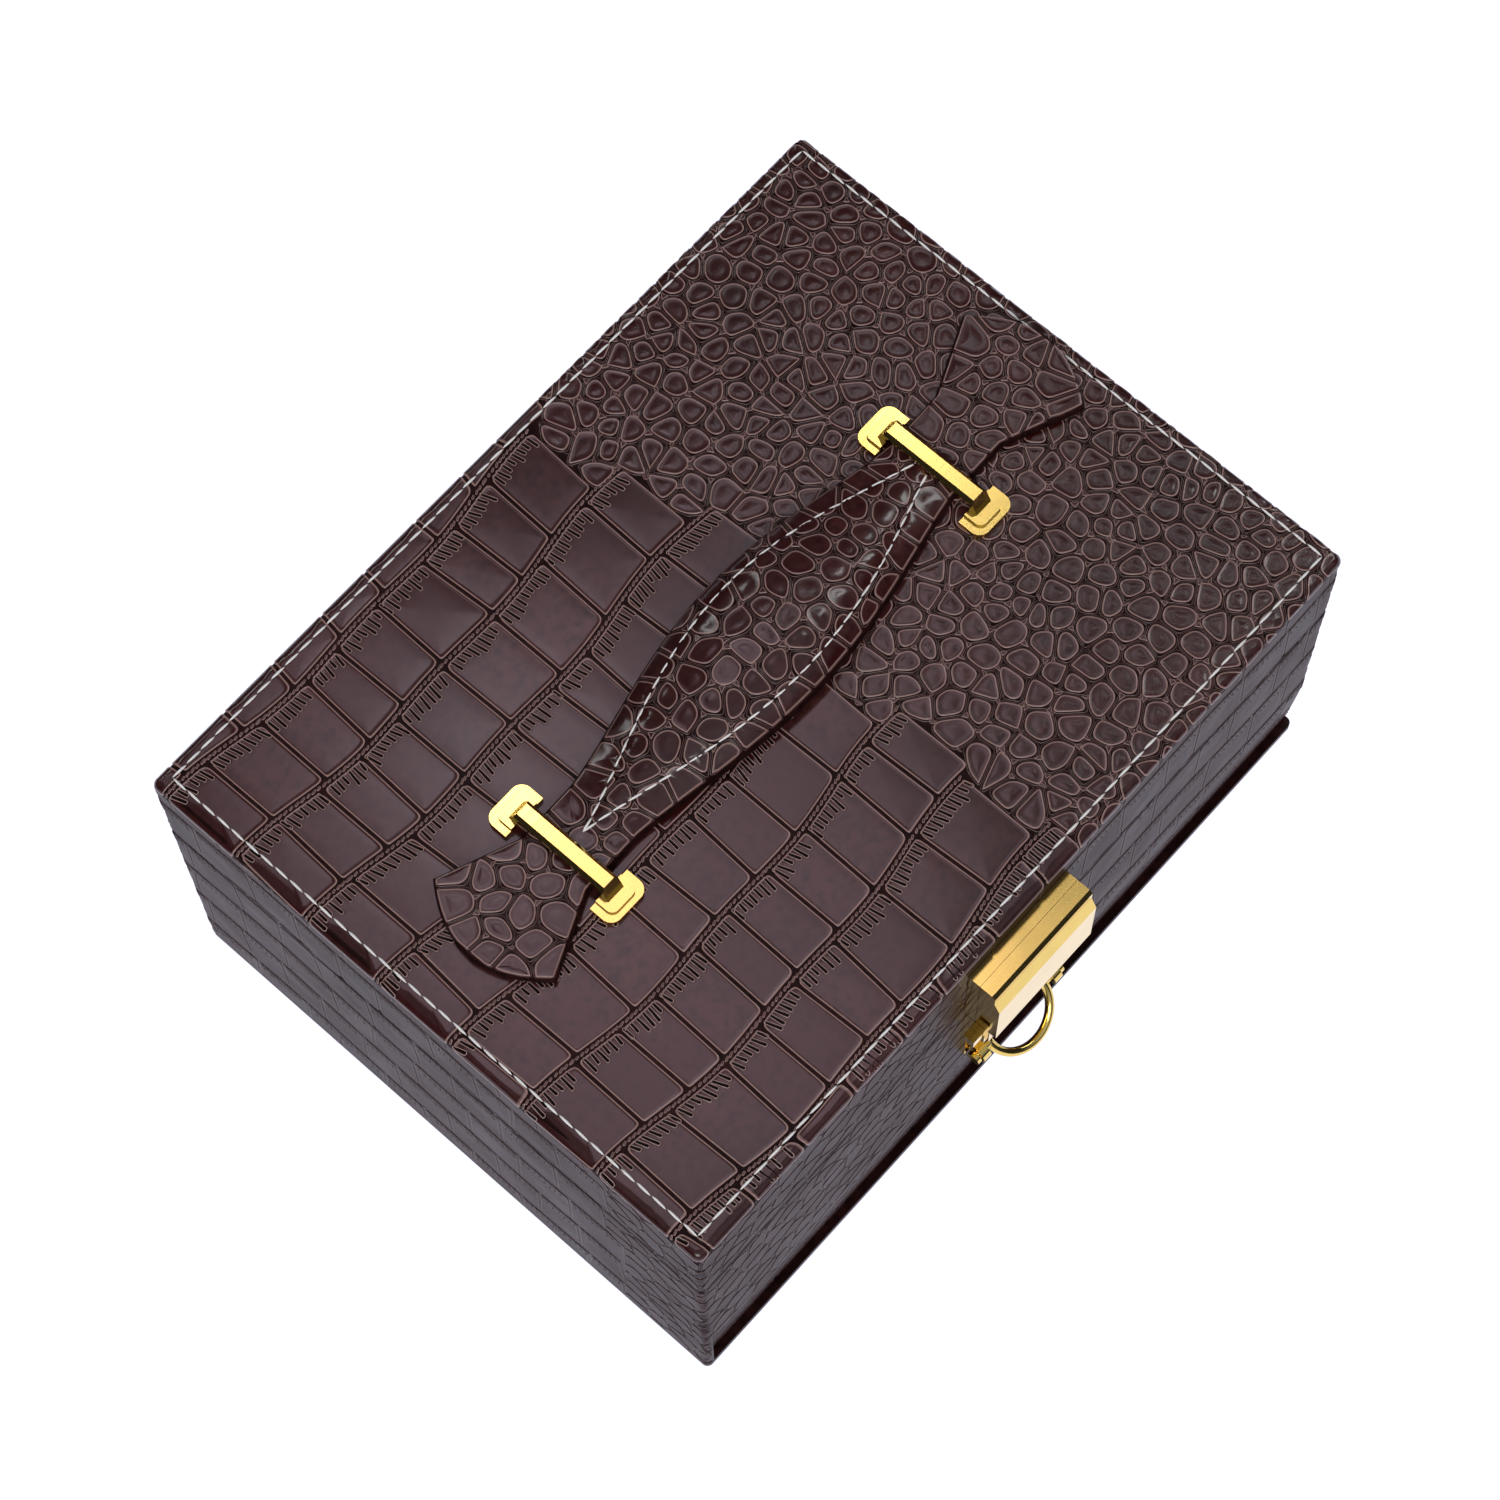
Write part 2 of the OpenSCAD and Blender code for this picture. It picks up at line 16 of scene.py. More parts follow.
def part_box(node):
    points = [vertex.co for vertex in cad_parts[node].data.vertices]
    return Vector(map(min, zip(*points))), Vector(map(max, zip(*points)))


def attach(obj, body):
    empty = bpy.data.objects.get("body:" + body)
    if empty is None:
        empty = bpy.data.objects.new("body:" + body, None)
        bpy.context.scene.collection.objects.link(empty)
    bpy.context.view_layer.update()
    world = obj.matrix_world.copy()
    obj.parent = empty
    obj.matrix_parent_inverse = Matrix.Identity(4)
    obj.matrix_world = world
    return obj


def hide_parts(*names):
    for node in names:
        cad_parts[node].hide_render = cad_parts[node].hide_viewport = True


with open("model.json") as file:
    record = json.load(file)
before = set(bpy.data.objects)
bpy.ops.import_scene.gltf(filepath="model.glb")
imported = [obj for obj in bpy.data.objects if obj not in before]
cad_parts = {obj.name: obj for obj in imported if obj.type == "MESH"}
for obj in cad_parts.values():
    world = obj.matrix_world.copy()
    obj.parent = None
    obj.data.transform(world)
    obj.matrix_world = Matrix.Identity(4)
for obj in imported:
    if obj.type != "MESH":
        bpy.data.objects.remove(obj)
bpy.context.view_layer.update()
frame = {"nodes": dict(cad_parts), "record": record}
nodes = frame["nodes"]

# %% [markdown]
# The case has a few driving sizes, and everything below is worked out from them. They could be typed in,
# but they are read off the loaded solids, so the leather always fits the box that it covers. ROLL is the
# radius of the rolled edge, and the front is set back by FOOT_STEP below FOOT_TOP. Lengths in the helpers
# are in millimetres, which suits leather work, and become metres when a mesh is made.

# %% Sizes of the case
MM = 0.001


def span(node):
    """Lowest and highest corner of a solid in millimetres."""
    low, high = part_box(node)
    return np.array(low) / MM, np.array(high) / MM


lid_low, lid_high = span("lid_leather")
body_low, body_high = span("body_leather")
HALF_W = lid_high[0]
HALF_D = lid_high[1]
TOP = lid_high[2]
ROLL = 1.8
FOOT_STEP = 2.4
FOOT_TOP = 30.0
INNER_W = HALF_W - ROLL
INNER_D = HALF_D - ROLL
print("lid", lid_low, lid_high, "body", body_low, body_high)

# %% [markdown]
# A long lens from well above, a little to the front and left, shows the lid, the latch side and the left
# side at once. A short lens closer by would show them too, but it would splay the upright edges. The
# camera comes first, because everything is judged through it.

# %% Camera
CAMERA_TARGET = Vector((-0.0002, 0.0013, 0.055))
CAMERA_FROM = Vector((-0.2683, -0.2512, 0.9572))
CAMERA_ROLL = math.radians(1.46)

camera_data = bpy.data.cameras.new("camera")
camera_data.lens = 98.78
camera_data.sensor_width = 36
camera_data.clip_start = 0.05
camera = bpy.data.objects.new("camera", camera_data)
bpy.context.scene.collection.objects.link(camera)
look = (-CAMERA_FROM).to_track_quat("-Z", "Y").to_matrix().to_4x4()
camera.matrix_world = (
    Matrix.Translation(CAMERA_TARGET + CAMERA_FROM) @ look @ Matrix.Rotation(-CAMERA_ROLL, 4, "Z")
)
bpy.context.scene.camera = camera
print("camera", [round(v, 3) for v in camera.matrix_world.translation])

# %% [markdown]
# The case stands on a plain white floor. A small sheet of paper would show its edges, so the floor is
# far larger than the case, and only a low view can reach its far edge.

# %% Floor
FLOOR_HALF = 3.0
floor_mesh = bpy.data.meshes.new("floor")
floor_mesh.from_pydata(
    [(x * FLOOR_HALF, y * FLOOR_HALF, 0) for x, y in ((-1, -1), (1, -1), (1, 1), (-1, 1))],
    [],
    [(0, 1, 2, 3)],
)
floor = bpy.data.objects.new("floor", floor_mesh)
bpy.context.scene.collection.objects.link(floor)
print("floor", 2 * FLOOR_HALF, "metres wide")

# %% [markdown]
# Gloss needs something to reflect. One bright lamp overhead would wash the whole lid out, so the work is
# shared: a broad key from the front left lights the colour of the leather, two strips draw lines on the
# metal, a soft box behind and above gives the left of the lid its faint pink sheen, and small weak lamps
# are placed where the lid, the bridges and the latch mirror them towards the camera.

# %% Lamps


def soft_box(name, place, aim, size, power, tint=(1, 1, 1)):
    """A rectangular lamp at place that faces aim."""
    data = bpy.data.lights.new(name, "AREA")
    data.shape = "RECTANGLE"
    data.size, data.size_y = size
    data.energy = power
    data.color = tint
    lamp = bpy.data.objects.new(name, data)
    bpy.context.scene.collection.objects.link(lamp)
    lamp.location = place
    lamp.rotation_mode = "QUATERNION"
    lamp.rotation_quaternion = (Vector(aim) - Vector(place)).to_track_quat("-Z", "Y")


# name, place, aim, size, watts, colour
LAMPS = [
    ("overhead", (0.5, 0.45, 1.9), (0, 0, 0.1), (1.0, 0.8), 0.12, (1.0, 0.9, 0.94)),
    ("left_sheen", (0.29, 0.42, 1.85), (-0.05, 0, 0.1), (0.52, 0.55), 1.65, (1.0, 0.78, 0.9)),
    ("bridge_glint", (0.73, 0.50, 1.85), (0.067, 0, 0.11), (0.2, 0.2), 0.12),
    ("latch_glint", (0.52, 0.22, 1.9), (0, -0.09, 0.1), (0.2, 0.16), 0.05),
    ("edge_glint", (0.81, 0.28, 1.9), (0.09, -0.072, 0.11), (0.14, 0.035), 0.15),
    ("left_glow", (0.36, 0.575, 1.9), (-0.057, 0.025, 0.11), (0.09, 0.09), 0.13, (1.0, 0.92, 0.98)),
    ("right_glow", (0.775, 0.56, 1.9), (0.08, 0.021, 0.11), (0.09, 0.09), 0.13, (1.0, 0.92, 0.98)),
    ("key", (-0.95, -0.8, 1.4), (0, 0, 0.08), (1.2, 0.8), 17, (1.0, 0.97, 0.95)),
    ("right_strip", (1.0, 0.0, 1.2), (0, 0, 0.1), (0.12, 0.9), 3),
    ("back_strip", (0.25, 1.3, 1.5), (0, 0, 0.1), (0.9, 0.12), 3),
]
for lamp in LAMPS:
    soft_box(*lamp)
print("lamps", [lamp[0] for lamp in LAMPS])

# %% [markdown]
# The surroundings are a dark room with one pale side. Even white surroundings would be simpler, but they
# would lie as a grey haze on all the dark leather. The pale side is high up at the front left, where it
# fills the shadows but is not what the closed lid mirrors in the main view.

# %% Surroundings
PALE_SIDE = Vector((-0.3, -0.5, 0.8)).normalized()
world = bpy.data.worlds.new("studio")
world.use_nodes = True
sky = world.node_tree
direction = sky.nodes.new("ShaderNodeTexCoord").outputs["Generated"]
dot = sky.nodes.new("ShaderNodeVectorMath")
dot.operation = "DOT_PRODUCT"
dot.inputs[1].default_value = PALE_SIDE
sky.links.new(direction, dot.inputs[0])
shade = sky.nodes.new("ShaderNodeValToRGB")
shade.color_ramp.elements[0].position = 0.58
shade.color_ramp.elements[0].color = (0.02, 0.02, 0.024, 1)
shade.color_ramp.elements[1].position = 0.88
shade.color_ramp.elements[1].color = (0.5, 0.52, 0.58, 1)
sky.links.new(dot.outputs["Value"], shade.inputs["Fac"])
sky.links.new(shade.outputs["Color"], sky.nodes["Background"].inputs["Color"])
sky.nodes["Background"].inputs["Strength"].default_value = 1.0
bpy.context.scene.world = world
bpy.context.scene.view_settings.view_transform = "Standard"
print("surroundings", world.name, "with the pale side at", [round(v, 2) for v in PALE_SIDE])

# %% [markdown]
# ## Finishes
# Each finish is a small function that wires a few nodes. A picture wrapped on the surface could do it
# too, but nodes need no file and stay sharp up close. No real surface is perfectly even, so each
# material has a colour and a roughness that vary a little, and a fine bump. All of them start here.

# %% A new material


def new_material(name):
    """A new material, its node tree, its shader and the place on the piece in metres."""
    material = bpy.data.materials.new(name)
    material.use_nodes = True
    tree = material.node_tree
    shader = tree.nodes["Principled BSDF"]
    place = tree.nodes.new("ShaderNodeTexCoord").outputs["Object"]
    return material, tree, shader, place


slots = sorted({part["material_slot"] for part in frame["record"]["subparts"]})
print("finishes to make", slots)

# %% [markdown]
# Stains, pores and fibres are all noise at different scales. A ramp turns the noise into colours, and a
# span turns it into a narrow range of roughness.

# %% Noise, ramps and spans


def noise(tree, place, scale, detail, stretch=None):
    """Noise with features about 1/scale metres across."""
    if stretch is not None:
        mapping = tree.nodes.new("ShaderNodeMapping")
        mapping.inputs["Scale"].default_value = stretch
        tree.links.new(place, mapping.inputs["Vector"])
        place = mapping.outputs["Vector"]
    node = tree.nodes.new("ShaderNodeTexNoise")
    node.inputs["Scale"].default_value = scale
    node.inputs["Detail"].default_value = detail
    tree.links.new(place, node.inputs["Vector"])
    return node.outputs["Fac"]


def ramp(tree, value, stops):
    """Colours along a value; stops are (position, colour)."""
    node = tree.nodes.new("ShaderNodeValToRGB")
    elements = node.color_ramp.elements
    while len(elements) < len(stops):
        elements.new(0.5)
    for element, (position, colour) in zip(elements, stops):
        element.position = position
        element.color = (*colour, 1)
    tree.links.new(value, node.inputs["Fac"])
    return node.outputs["Color"]


def span_value(tree, value, low, high):
    """Turns a value from 0 to 1 into one from low to high."""
    node = tree.nodes.new("ShaderNodeMapRange")
    node.inputs["To Min"].default_value = low
    node.inputs["To Max"].default_value = high
    tree.links.new(value, node.inputs["Value"])
    return node.outputs["Result"]


print("noise at scale 420 has features about", round(1000 / 420, 1), "mm across")

# %% [markdown]
# Two colours are mixed by a value, and heights are chained into one bump, coarse first. Real
# displacement would also work, but on grain this fine only the light on it can be seen.

# %% Mixing and bump


def mix_colours(tree, factor, first, second):
    """Mixes two colours, each a socket or a plain colour, by a factor socket."""
    node = tree.nodes.new("ShaderNodeMix")
    node.data_type = "RGBA"
    for socket, value in ((node.inputs[0], factor), (node.inputs[6], first), (node.inputs[7], second)):
        if isinstance(value, bpy.types.NodeSocket):
            tree.links.new(value, socket)
        else:
            socket.default_value = (*value, 1)
    return node.outputs[2]


def bump(tree, shader, heights):
    """Chains bumps; heights are (value, strength, distance in metres)."""
    normal = None
    for value, strength, distance in heights:
        node = tree.nodes.new("ShaderNodeBump")
        node.inputs["Strength"].default_value = strength
        node.inputs["Distance"].default_value = distance
        tree.links.new(value, node.inputs["Height"])
        if normal is not None:
            tree.links.new(normal, node.inputs["Normal"])
        normal = node.outputs["Normal"]
    tree.links.new(normal, shader.inputs["Normal"])


print("bumps are given in metres, so 0.1 mm is", 0.1 * MM)

# %% [markdown]
# Embossed leather is dyed dark, pressed between hot plates and then polished. Its rims are given a
# painted highlight, and its creases are given painted shade that is nearly black. The pattern could be
# only a
# picture, but here the scales are real shapes, and their mesh carries two values that colour follows:
# shade runs from 0 in a crease (painted shade) over 0.5 on the flat of a scale to 1 on a rim (painted
# highlight), and tone says how light each scale took the dye, painted lower towards its crease as
# shade. A thin clear coat stands for the polish and is missing in the creases.

# %% Leather
COAT_IOR, COAT_ROUGHNESS = 1.5, 0.17


def leather(name, base, rim, crease, ior, shine=0.9, scales=True):
    """Polished leather; with scales, its colour follows the mesh: painted crease shade, rim highlight,
    tone.
    """
    material, tree, shader, place = new_material(name)
    patches = noise(tree, place, 22, 3)
    specks = noise(tree, place, 420, 4)
    plain = ramp(tree, patches, [(0.36, [0.6 * c for c in base]), (0.64, [1.4 * c for c in base])])
    pores = ramp(tree, specks, [(0.42, (0, 0, 0)), (0.7, (1, 1, 1))])
    plain = mix_colours(tree, pores, plain, [0.35 * c for c in base])
    if scales:
        tone = tree.nodes.new("ShaderNodeAttribute")
        tone.attribute_name = "tone"
        deep = (0.6 * base[0], 0.22 * base[1], 0.2 * base[2])
        plain = mix_colours(tree, tone.outputs["Fac"], deep, plain)
        shade = tree.nodes.new("ShaderNodeAttribute")
        shade.attribute_name = "shade"
        # A shade near 0 paints the crease shade, and a shade near 1 paints a rim highlight.
        to_crease_shade = ramp(tree, shade.outputs["Fac"], [(0.0, (1, 1, 1)), (0.42, (0, 0, 0))])
        to_rim_highlight = ramp(tree, shade.outputs["Fac"], [(0.58, (0, 0, 0)), (1.0, (1, 1, 1))])
        plain = mix_colours(tree, to_crease_shade, plain, crease)
        plain = mix_colours(tree, to_rim_highlight, plain, rim)
        polish = tree.nodes.new("ShaderNodeMapRange")
        polish.inputs["From Max"].default_value = 0.4
        polish.inputs["To Max"].default_value = shine
        tree.links.new(shade.outputs["Fac"], polish.inputs["Value"])
        tree.links.new(polish.outputs["Result"], shader.inputs["Coat Weight"])
    tree.links.new(plain, shader.inputs["Base Color"])
    tree.links.new(span_value(tree, noise(tree, place, 60, 3), 0.3, 0.5), shader.inputs["Roughness"])
    shader.inputs["IOR"].default_value = ior
    shader.inputs["Coat Weight"].default_value = shine
    shader.inputs["Coat IOR"].default_value = COAT_IOR
    shader.inputs["Coat Roughness"].default_value = COAT_ROUGHNESS
    bump(tree, shader, [
        (noise(tree, place, 75, 2), 0.4, 0.0007),
        (noise(tree, place, 800, 4), 0.4, 0.00008),
    ])
    return material


glare = 100 * ((COAT_IOR - 1) / (COAT_IOR + 1)) ** 2
print("the polish mirrors", round(glare, 1), "percent of what is above it")

# %% [markdown]
# Three leathers come from the same function. The top is the polished one. The sides are nearly matt,
# and their colour is painted a little darker and colder than the top's, as painted shade with a cool
# painted reflection of the floor; their rims get a quarter of the painted highlight. The plain one has
# no scales and lies under them, painted dark as the shade at the bottom of the creases.

# %% Three leathers
BROWN = (0.05, 0.0152, 0.0143)
# The rim colour is a painted highlight, and the crease colour is painted shade.
RIM_HIGHLIGHT = (0.32, 0.2, 0.175)
CREASE_SHADE = (0.0035, 0.0018, 0.0016)
SHADED_SIDE_BROWN = (0.033, 0.0135, 0.0165)
leather_top = leather("embossed_leather", BROWN, RIM_HIGHLIGHT, CREASE_SHADE, ior=1.15)
# The sides' colour is painted shade with a cool painted reflection, and their rims a dimmer painted
# highlight.
leather_side = leather(
    "side_leather", SHADED_SIDE_BROWN, [0.25 * c for c in RIM_HIGHLIGHT], CREASE_SHADE, ior=1.1, shine=0.05
)
# The plain leather is painted dark, as the shade at the bottom of the creases.
shaded_plain_leather = leather(
    "crease_shade_leather", [0.35 * c for c in BROWN], RIM_HIGHLIGHT, CREASE_SHADE, ior=1.12, shine=0.05, scales=False
)
print("made", leather_top.name, leather_side.name, shaded_plain_leather.name)

# %% [markdown]
# Gilt metal is a polished base metal under a thin gold layer. A single even gold looks like plastic, so
# fine scratches from wiping run along it and draw its highlights out a little. The hinge pins, the
# tongue of the hasp and the nuts under the bridges are plain steel, which is duller and more scratched.

# %% Gilt and steel


def metal(name, colour, rough, scratch=0.3):
    """Polished metal with fine scratches along it."""
    material, tree, shader, place = new_material(name)
    shader.inputs["Metallic"].default_value = 1.0
    wear = noise(tree, place, 180, 3)
    tree.links.new(
        mix_colours(tree, wear, [0.86 * c for c in colour], colour), shader.inputs["Base Color"]
    )
    lines = noise(tree, place, 500, 2, stretch=(0.15, 3.0, 3.0))
    tree.links.new(span_value(tree, lines, rough * 0.7, rough * 1.4), shader.inputs["Roughness"])
    bump(tree, shader, [(lines, scratch, 0.00004), (noise(tree, place, 60, 2), 0.15, 0.0002)])
    return material


gold = metal("gilt", (0.84, 0.62, 0.18), 0.13, 0.015)
steel = metal("steel", (0.62, 0.62, 0.64), 0.3)
print("made", gold.name, steel.name)

# %% [markdown]
# Velvet is a short pile that shines at the edges of a fold and shows where it was brushed. Hairs would
# cost far too much for a lining, so sheen and a fine bump stand for the pile. The felt under the case
# and the foam under the lid's leather are made the same way, as both are soft fibres or bubbles.

# %% Velvet, felt and foam


def velvet(name, colour):
    """A short pile with brushed patches."""
    material, tree, shader, place = new_material(name)
    pile = noise(tree, place, 1400, 2)
    brushed = noise(tree, place, 35, 3)
    tone = mix_colours(tree, brushed, [0.7 * c for c in colour], [1.2 * c for c in colour])
    tree.links.new(
        mix_colours(tree, span_value(tree, pile, 0, 0.5), tone, [0.5 * c for c in colour]),
        shader.inputs["Base Color"],
    )
    tree.links.new(span_value(tree, pile, 0.8, 1.0), shader.inputs["Roughness"])
    shader.inputs["Sheen Weight"].default_value = 0.6
    shader.inputs["Sheen Roughness"].default_value = 0.35
    bump(tree, shader, [(pile, 0.5, 0.0003)])
    return material


lining = velvet("velvet", (0.36, 0.29, 0.20))
felt = velvet("felt", (0.012, 0.011, 0.011))
foam = velvet("foam", (0.6, 0.58, 0.5))
print("made", lining.name, felt.name, foam.name)

# %% [markdown]
# The thread is waxed and twisted. Its twist could be modelled as two strands wound together, but it is
# finer than the stitch is thick, so the stitches are real shapes and the material only adds the twist.

# %% Thread


def thread(name, colour):
    """Waxed, twisted thread."""
    material, tree, shader, place = new_material(name)
    twist = noise(tree, place, 1500, 2)
    tree.links.new(
        mix_colours(tree, twist, [0.82 * c for c in colour], colour), shader.inputs["Base Color"]
    )
    tree.links.new(span_value(tree, twist, 0.45, 0.7), shader.inputs["Roughness"])
    bump(tree, shader, [(twist, 0.5, 0.00015)])
    return material


white_thread = thread("white_thread", (0.93, 0.92, 0.9))
print("made", white_thread.name)

# %% [markdown]
# The walls are fibreboard under the leather. They hardly show, but when the lid is open their edges may
# be seen, so they get fibres drawn out along the board.

# %% Fibreboard


def board(name, colour):
    """Pressed fibres, drawn out along the board."""
    material, tree, shader, place = new_material(name)
    fibres = noise(tree, place, 400, 4, stretch=(0.3, 1, 1))
    tree.links.new(
        mix_colours(tree, fibres, [0.75 * c for c in colour], colour), shader.inputs["Base Color"]
    )
    tree.links.new(span_value(tree, fibres, 0.7, 0.9), shader.inputs["Roughness"])
    bump(tree, shader, [(fibres, 0.3, 0.0002)])
    return material


fibreboard = board("fibreboard", (0.42, 0.30, 0.18))
print("made", fibreboard.name)

# %% [markdown]
# The mirror in the lid is glass with silver behind it. Modelling both layers would double the
# reflection, so it is one bright metal with a trace of haze. The floor is white paper that glows a
# little, which keeps it white however dark the lamps leave it.

# %% Mirror and floor paper


def mirror_glass(name):
    """Silvered glass with a trace of haze."""
    material, tree, shader, place = new_material(name)
    shader.inputs["Metallic"].default_value = 1.0
    haze = noise(tree, place, 30, 2)
    tree.links.new(
        mix_colours(tree, haze, (0.86, 0.88, 0.89), (0.92, 0.93, 0.94)), shader.inputs["Base Color"]
    )
    tree.links.new(span_value(tree, haze, 0.01, 0.04), shader.inputs["Roughness"])
    return material


def floor_paper(name):
    """White paper that glows a little."""
    material, tree, shader, place = new_material(name)
    grain = noise(tree, place, 3, 2)
    tree.links.new(
        mix_colours(tree, grain, (0.15, 0.15, 0.16), (0.17, 0.17, 0.18)), shader.inputs["Base Color"]
    )
    tree.links.new(span_value(tree, grain, 0.8, 0.9), shader.inputs["Roughness"])
    shader.inputs["Emission Color"].default_value = (1.0, 0.99, 1.14, 1)
    shader.inputs["Emission Strength"].default_value = 0.96
    return material


silvered = mirror_glass("mirror_glass")
floor_mesh.materials.append(floor_paper("floor_paper"))
print("made", silvered.name, "and", floor_mesh.materials[0].name)

# %% [markdown]
# The loaded solids keep their shapes, and each takes the finish of its material slot. Choosing a finish
# for every solid by name would also do, but the slots already say which pieces are cut from one stuff.

# %% Finish the loaded solids
FINISHES = {
    "brown_leather": shaded_plain_leather,
    "board": fibreboard,
    "velvet": lining,
    "gold_metal": gold,
    "steel": steel,
    "felt": felt,
    "foam": foam,
    "mirror": silvered,
}
for part in frame["record"]["subparts"]:
    solid = nodes[part["node"]]
    solid.data.materials.clear()
    solid.data.materials.append(FINISHES[part["material_slot"]])

# %% [markdown]
# Cast and pressed metal never has a knife edge, and its soft edges are what catches the light. A bevel
# modifier gives them, because it leaves the solids' own meshes as they are.

# %% Soften the metal edges
BEVELS = {
    "lock_plate": 0.35, "lock_case": 0.5, "hasp_plate": 0.35, "hasp_block": 0.35, "bridge_left": 0.25,
    "bridge_right": 0.25, "catch_bolt": 0.3, "mirror_frame": 0.5, "hinge_body_left": 0.15,
    "hinge_body_right": 0.15, "hinge_lid_left": 0.15, "hinge_lid_right": 0.15,
}
for name, width in BEVELS.items():
    bevel = nodes[name].modifiers.new("soft_edges", "BEVEL")
    bevel.width = width * MM
    bevel.segments = 2
    bevel.limit_method = "ANGLE"
    bevel.angle_limit = math.radians(35)
print("bevelled", len(BEVELS), "metal parts")

# %% [markdown]
# ## Scales
# The leather is embossed with scales: wide, nearly square ones in rows on one part of the hide, and
# small round ones on the rest. They could be drawn one by one, but points scattered the way the scales
# lie do the same work: each scale is the region closest to its point. This gives creases that always
# meet, as they do on real hide.

# %% Cells round points
NEAR_POINTS, NEAR_WALLS = 22, 30
FAR = 40


def clip(outline, normal, limit):
    """Cuts a convex outline with a line and keeps the side where point . normal <= limit."""
    kept = []
    for here, after in zip(outline, outline[1:] + outline[:1]):
        a = here[0] * normal[0] + here[1] * normal[1] - limit
        b = after[0] * normal[0] + after[1] * normal[1] - limit
        if a <= 0:
            kept.append(here)
        if (a < 0 < b) or (b < 0 < a):
            t = a / (a - b)
            kept.append((here[0] + t * (after[0] - here[0]), here[1] + t * (after[1] - here[1])))
    return kept


def cell(points, index, region, gap, walls):
    """The region closest to one point, with a free gap around it, kept clear of the walls."""
    point = points[index]
    x0, x1, y0, y1 = region
    outline = [(x0, y0), (x1, y0), (x1, y1), (x0, y1)]
    for others, share, count in ((points, 0.5, NEAR_POINTS), (walls, 1.0, NEAR_WALLS)):
        offsets = others - point
        distance = np.hypot(offsets[:, 0], offsets[:, 1])
        for other in np.argsort(distance)[:count]:
            if 1e-6 < distance[other] < FAR:
                normal = offsets[other] / distance[other]
                outline = clip(outline, normal, point @ normal + share * distance[other] - gap)
            if len(outline) < 3:
                return []
    return outline


half_square = clip([(0, 0), (2, 0), (2, 2), (0, 2)], (1, 0), 1)
print("half a square has the corners", half_square)

# %% [markdown]
# Pressed leather has no sharp corners, so every outline is rounded. Its points are then spaced evenly,
# which keeps the faces of the finished mesh about the same size.

# %% Rounding an outline


def round_corners(outline, cut, steps=4):
    """Replaces each corner of an outline with a curve that starts cut before it."""
    rounded = []
    points = [np.array(p) for p in outline]
    for before, here, after in zip(points[-1:] + points[:-1], points, points[1:] + points[:1]):
        lengths = [max(np.hypot(*(other - here)), 1e-6) for other in (before, after)]
        start = here + (before - here) * min(cut / lengths[0], 0.48)
        end = here + (after - here) * min(cut / lengths[1], 0.48)
        for i in range(steps + 1):
            t = i / steps
            rounded.append((1 - t) ** 2 * start + 2 * t * (1 - t) * here + t**2 * end)
    return np.array(rounded)


def even_steps(outline, step):
    """The same closed outline with points about one step apart."""
    closed = np.vstack([outline, outline[:1]])
    lengths = np.hypot(*np.diff(closed, axis=0).T)
    along = np.concatenate([[0], np.cumsum(lengths)])
    count = max(8, int(round(along[-1] / step)))
    at = np.linspace(0, along[-1], count, endpoint=False)
    return np.stack([np.interp(at, along, closed[:, k]) for k in (0, 1)], axis=1)


print("rounded, that half has", len(round_corners(half_square, 0.3)), "points")

# %% [markdown]
# A scale is built as rings. The outer ring lies in the crease, the next ones climb to the rim, and the
# surface dips a little behind the rim before it rises to the middle. Pushing up a fine grid would give
# the same form, but it would need many more faces for a rim this thin.

# %% Rings of a scale
RIM_ZONE = 0.45


def nested_rings(outline, rings, crown, middle):
    """Rings of (points, height, shade), from the outline inwards; crown is the height at the middle."""
    ahead = np.roll(outline, -1, axis=0) - np.roll(outline, 1, axis=0)
    inward = np.stack([-ahead[:, 1], ahead[:, 0]], axis=1)
    inward /= np.maximum(np.hypot(inward[:, 0], inward[:, 1]), 1e-9)[:, None]
    centre = outline.mean(axis=0)
    reach = np.hypot(*(outline - centre).T).min()
    shrink = min(1.0, 0.7 * reach / max(rings[-1][0], 1e-6))
    levels = []
    for inset, height, shade in rings:
        edge = min(inset, RIM_ZONE) * shrink
        ring = outline + inward * edge
        ring = centre + (ring - centre) * (1 - (inset * shrink - edge) / reach)
        levels.append((ring, height, shade))
    last, last_height, last_shade = levels[-1]
    for k in middle:
        height = last_height + (crown - last_height) * (1 - k * k)
        levels.append((centre + (last - centre) * k, height, last_shade))
    levels.append((centre[None, :], crown, last_shade))
    return levels


print("rings follow the outline up to", RIM_ZONE, "mm and then close on the middle")

# %% [markdown]
# The shapes are collected in the flat and wrapped on the case at the end, so the same helper serves the
# lid, the sides and the strap. Each kind of scale becomes one mesh, because a mesh of its own for each
# of thousands of scales would be slow to handle.

# %% Relief of a surface


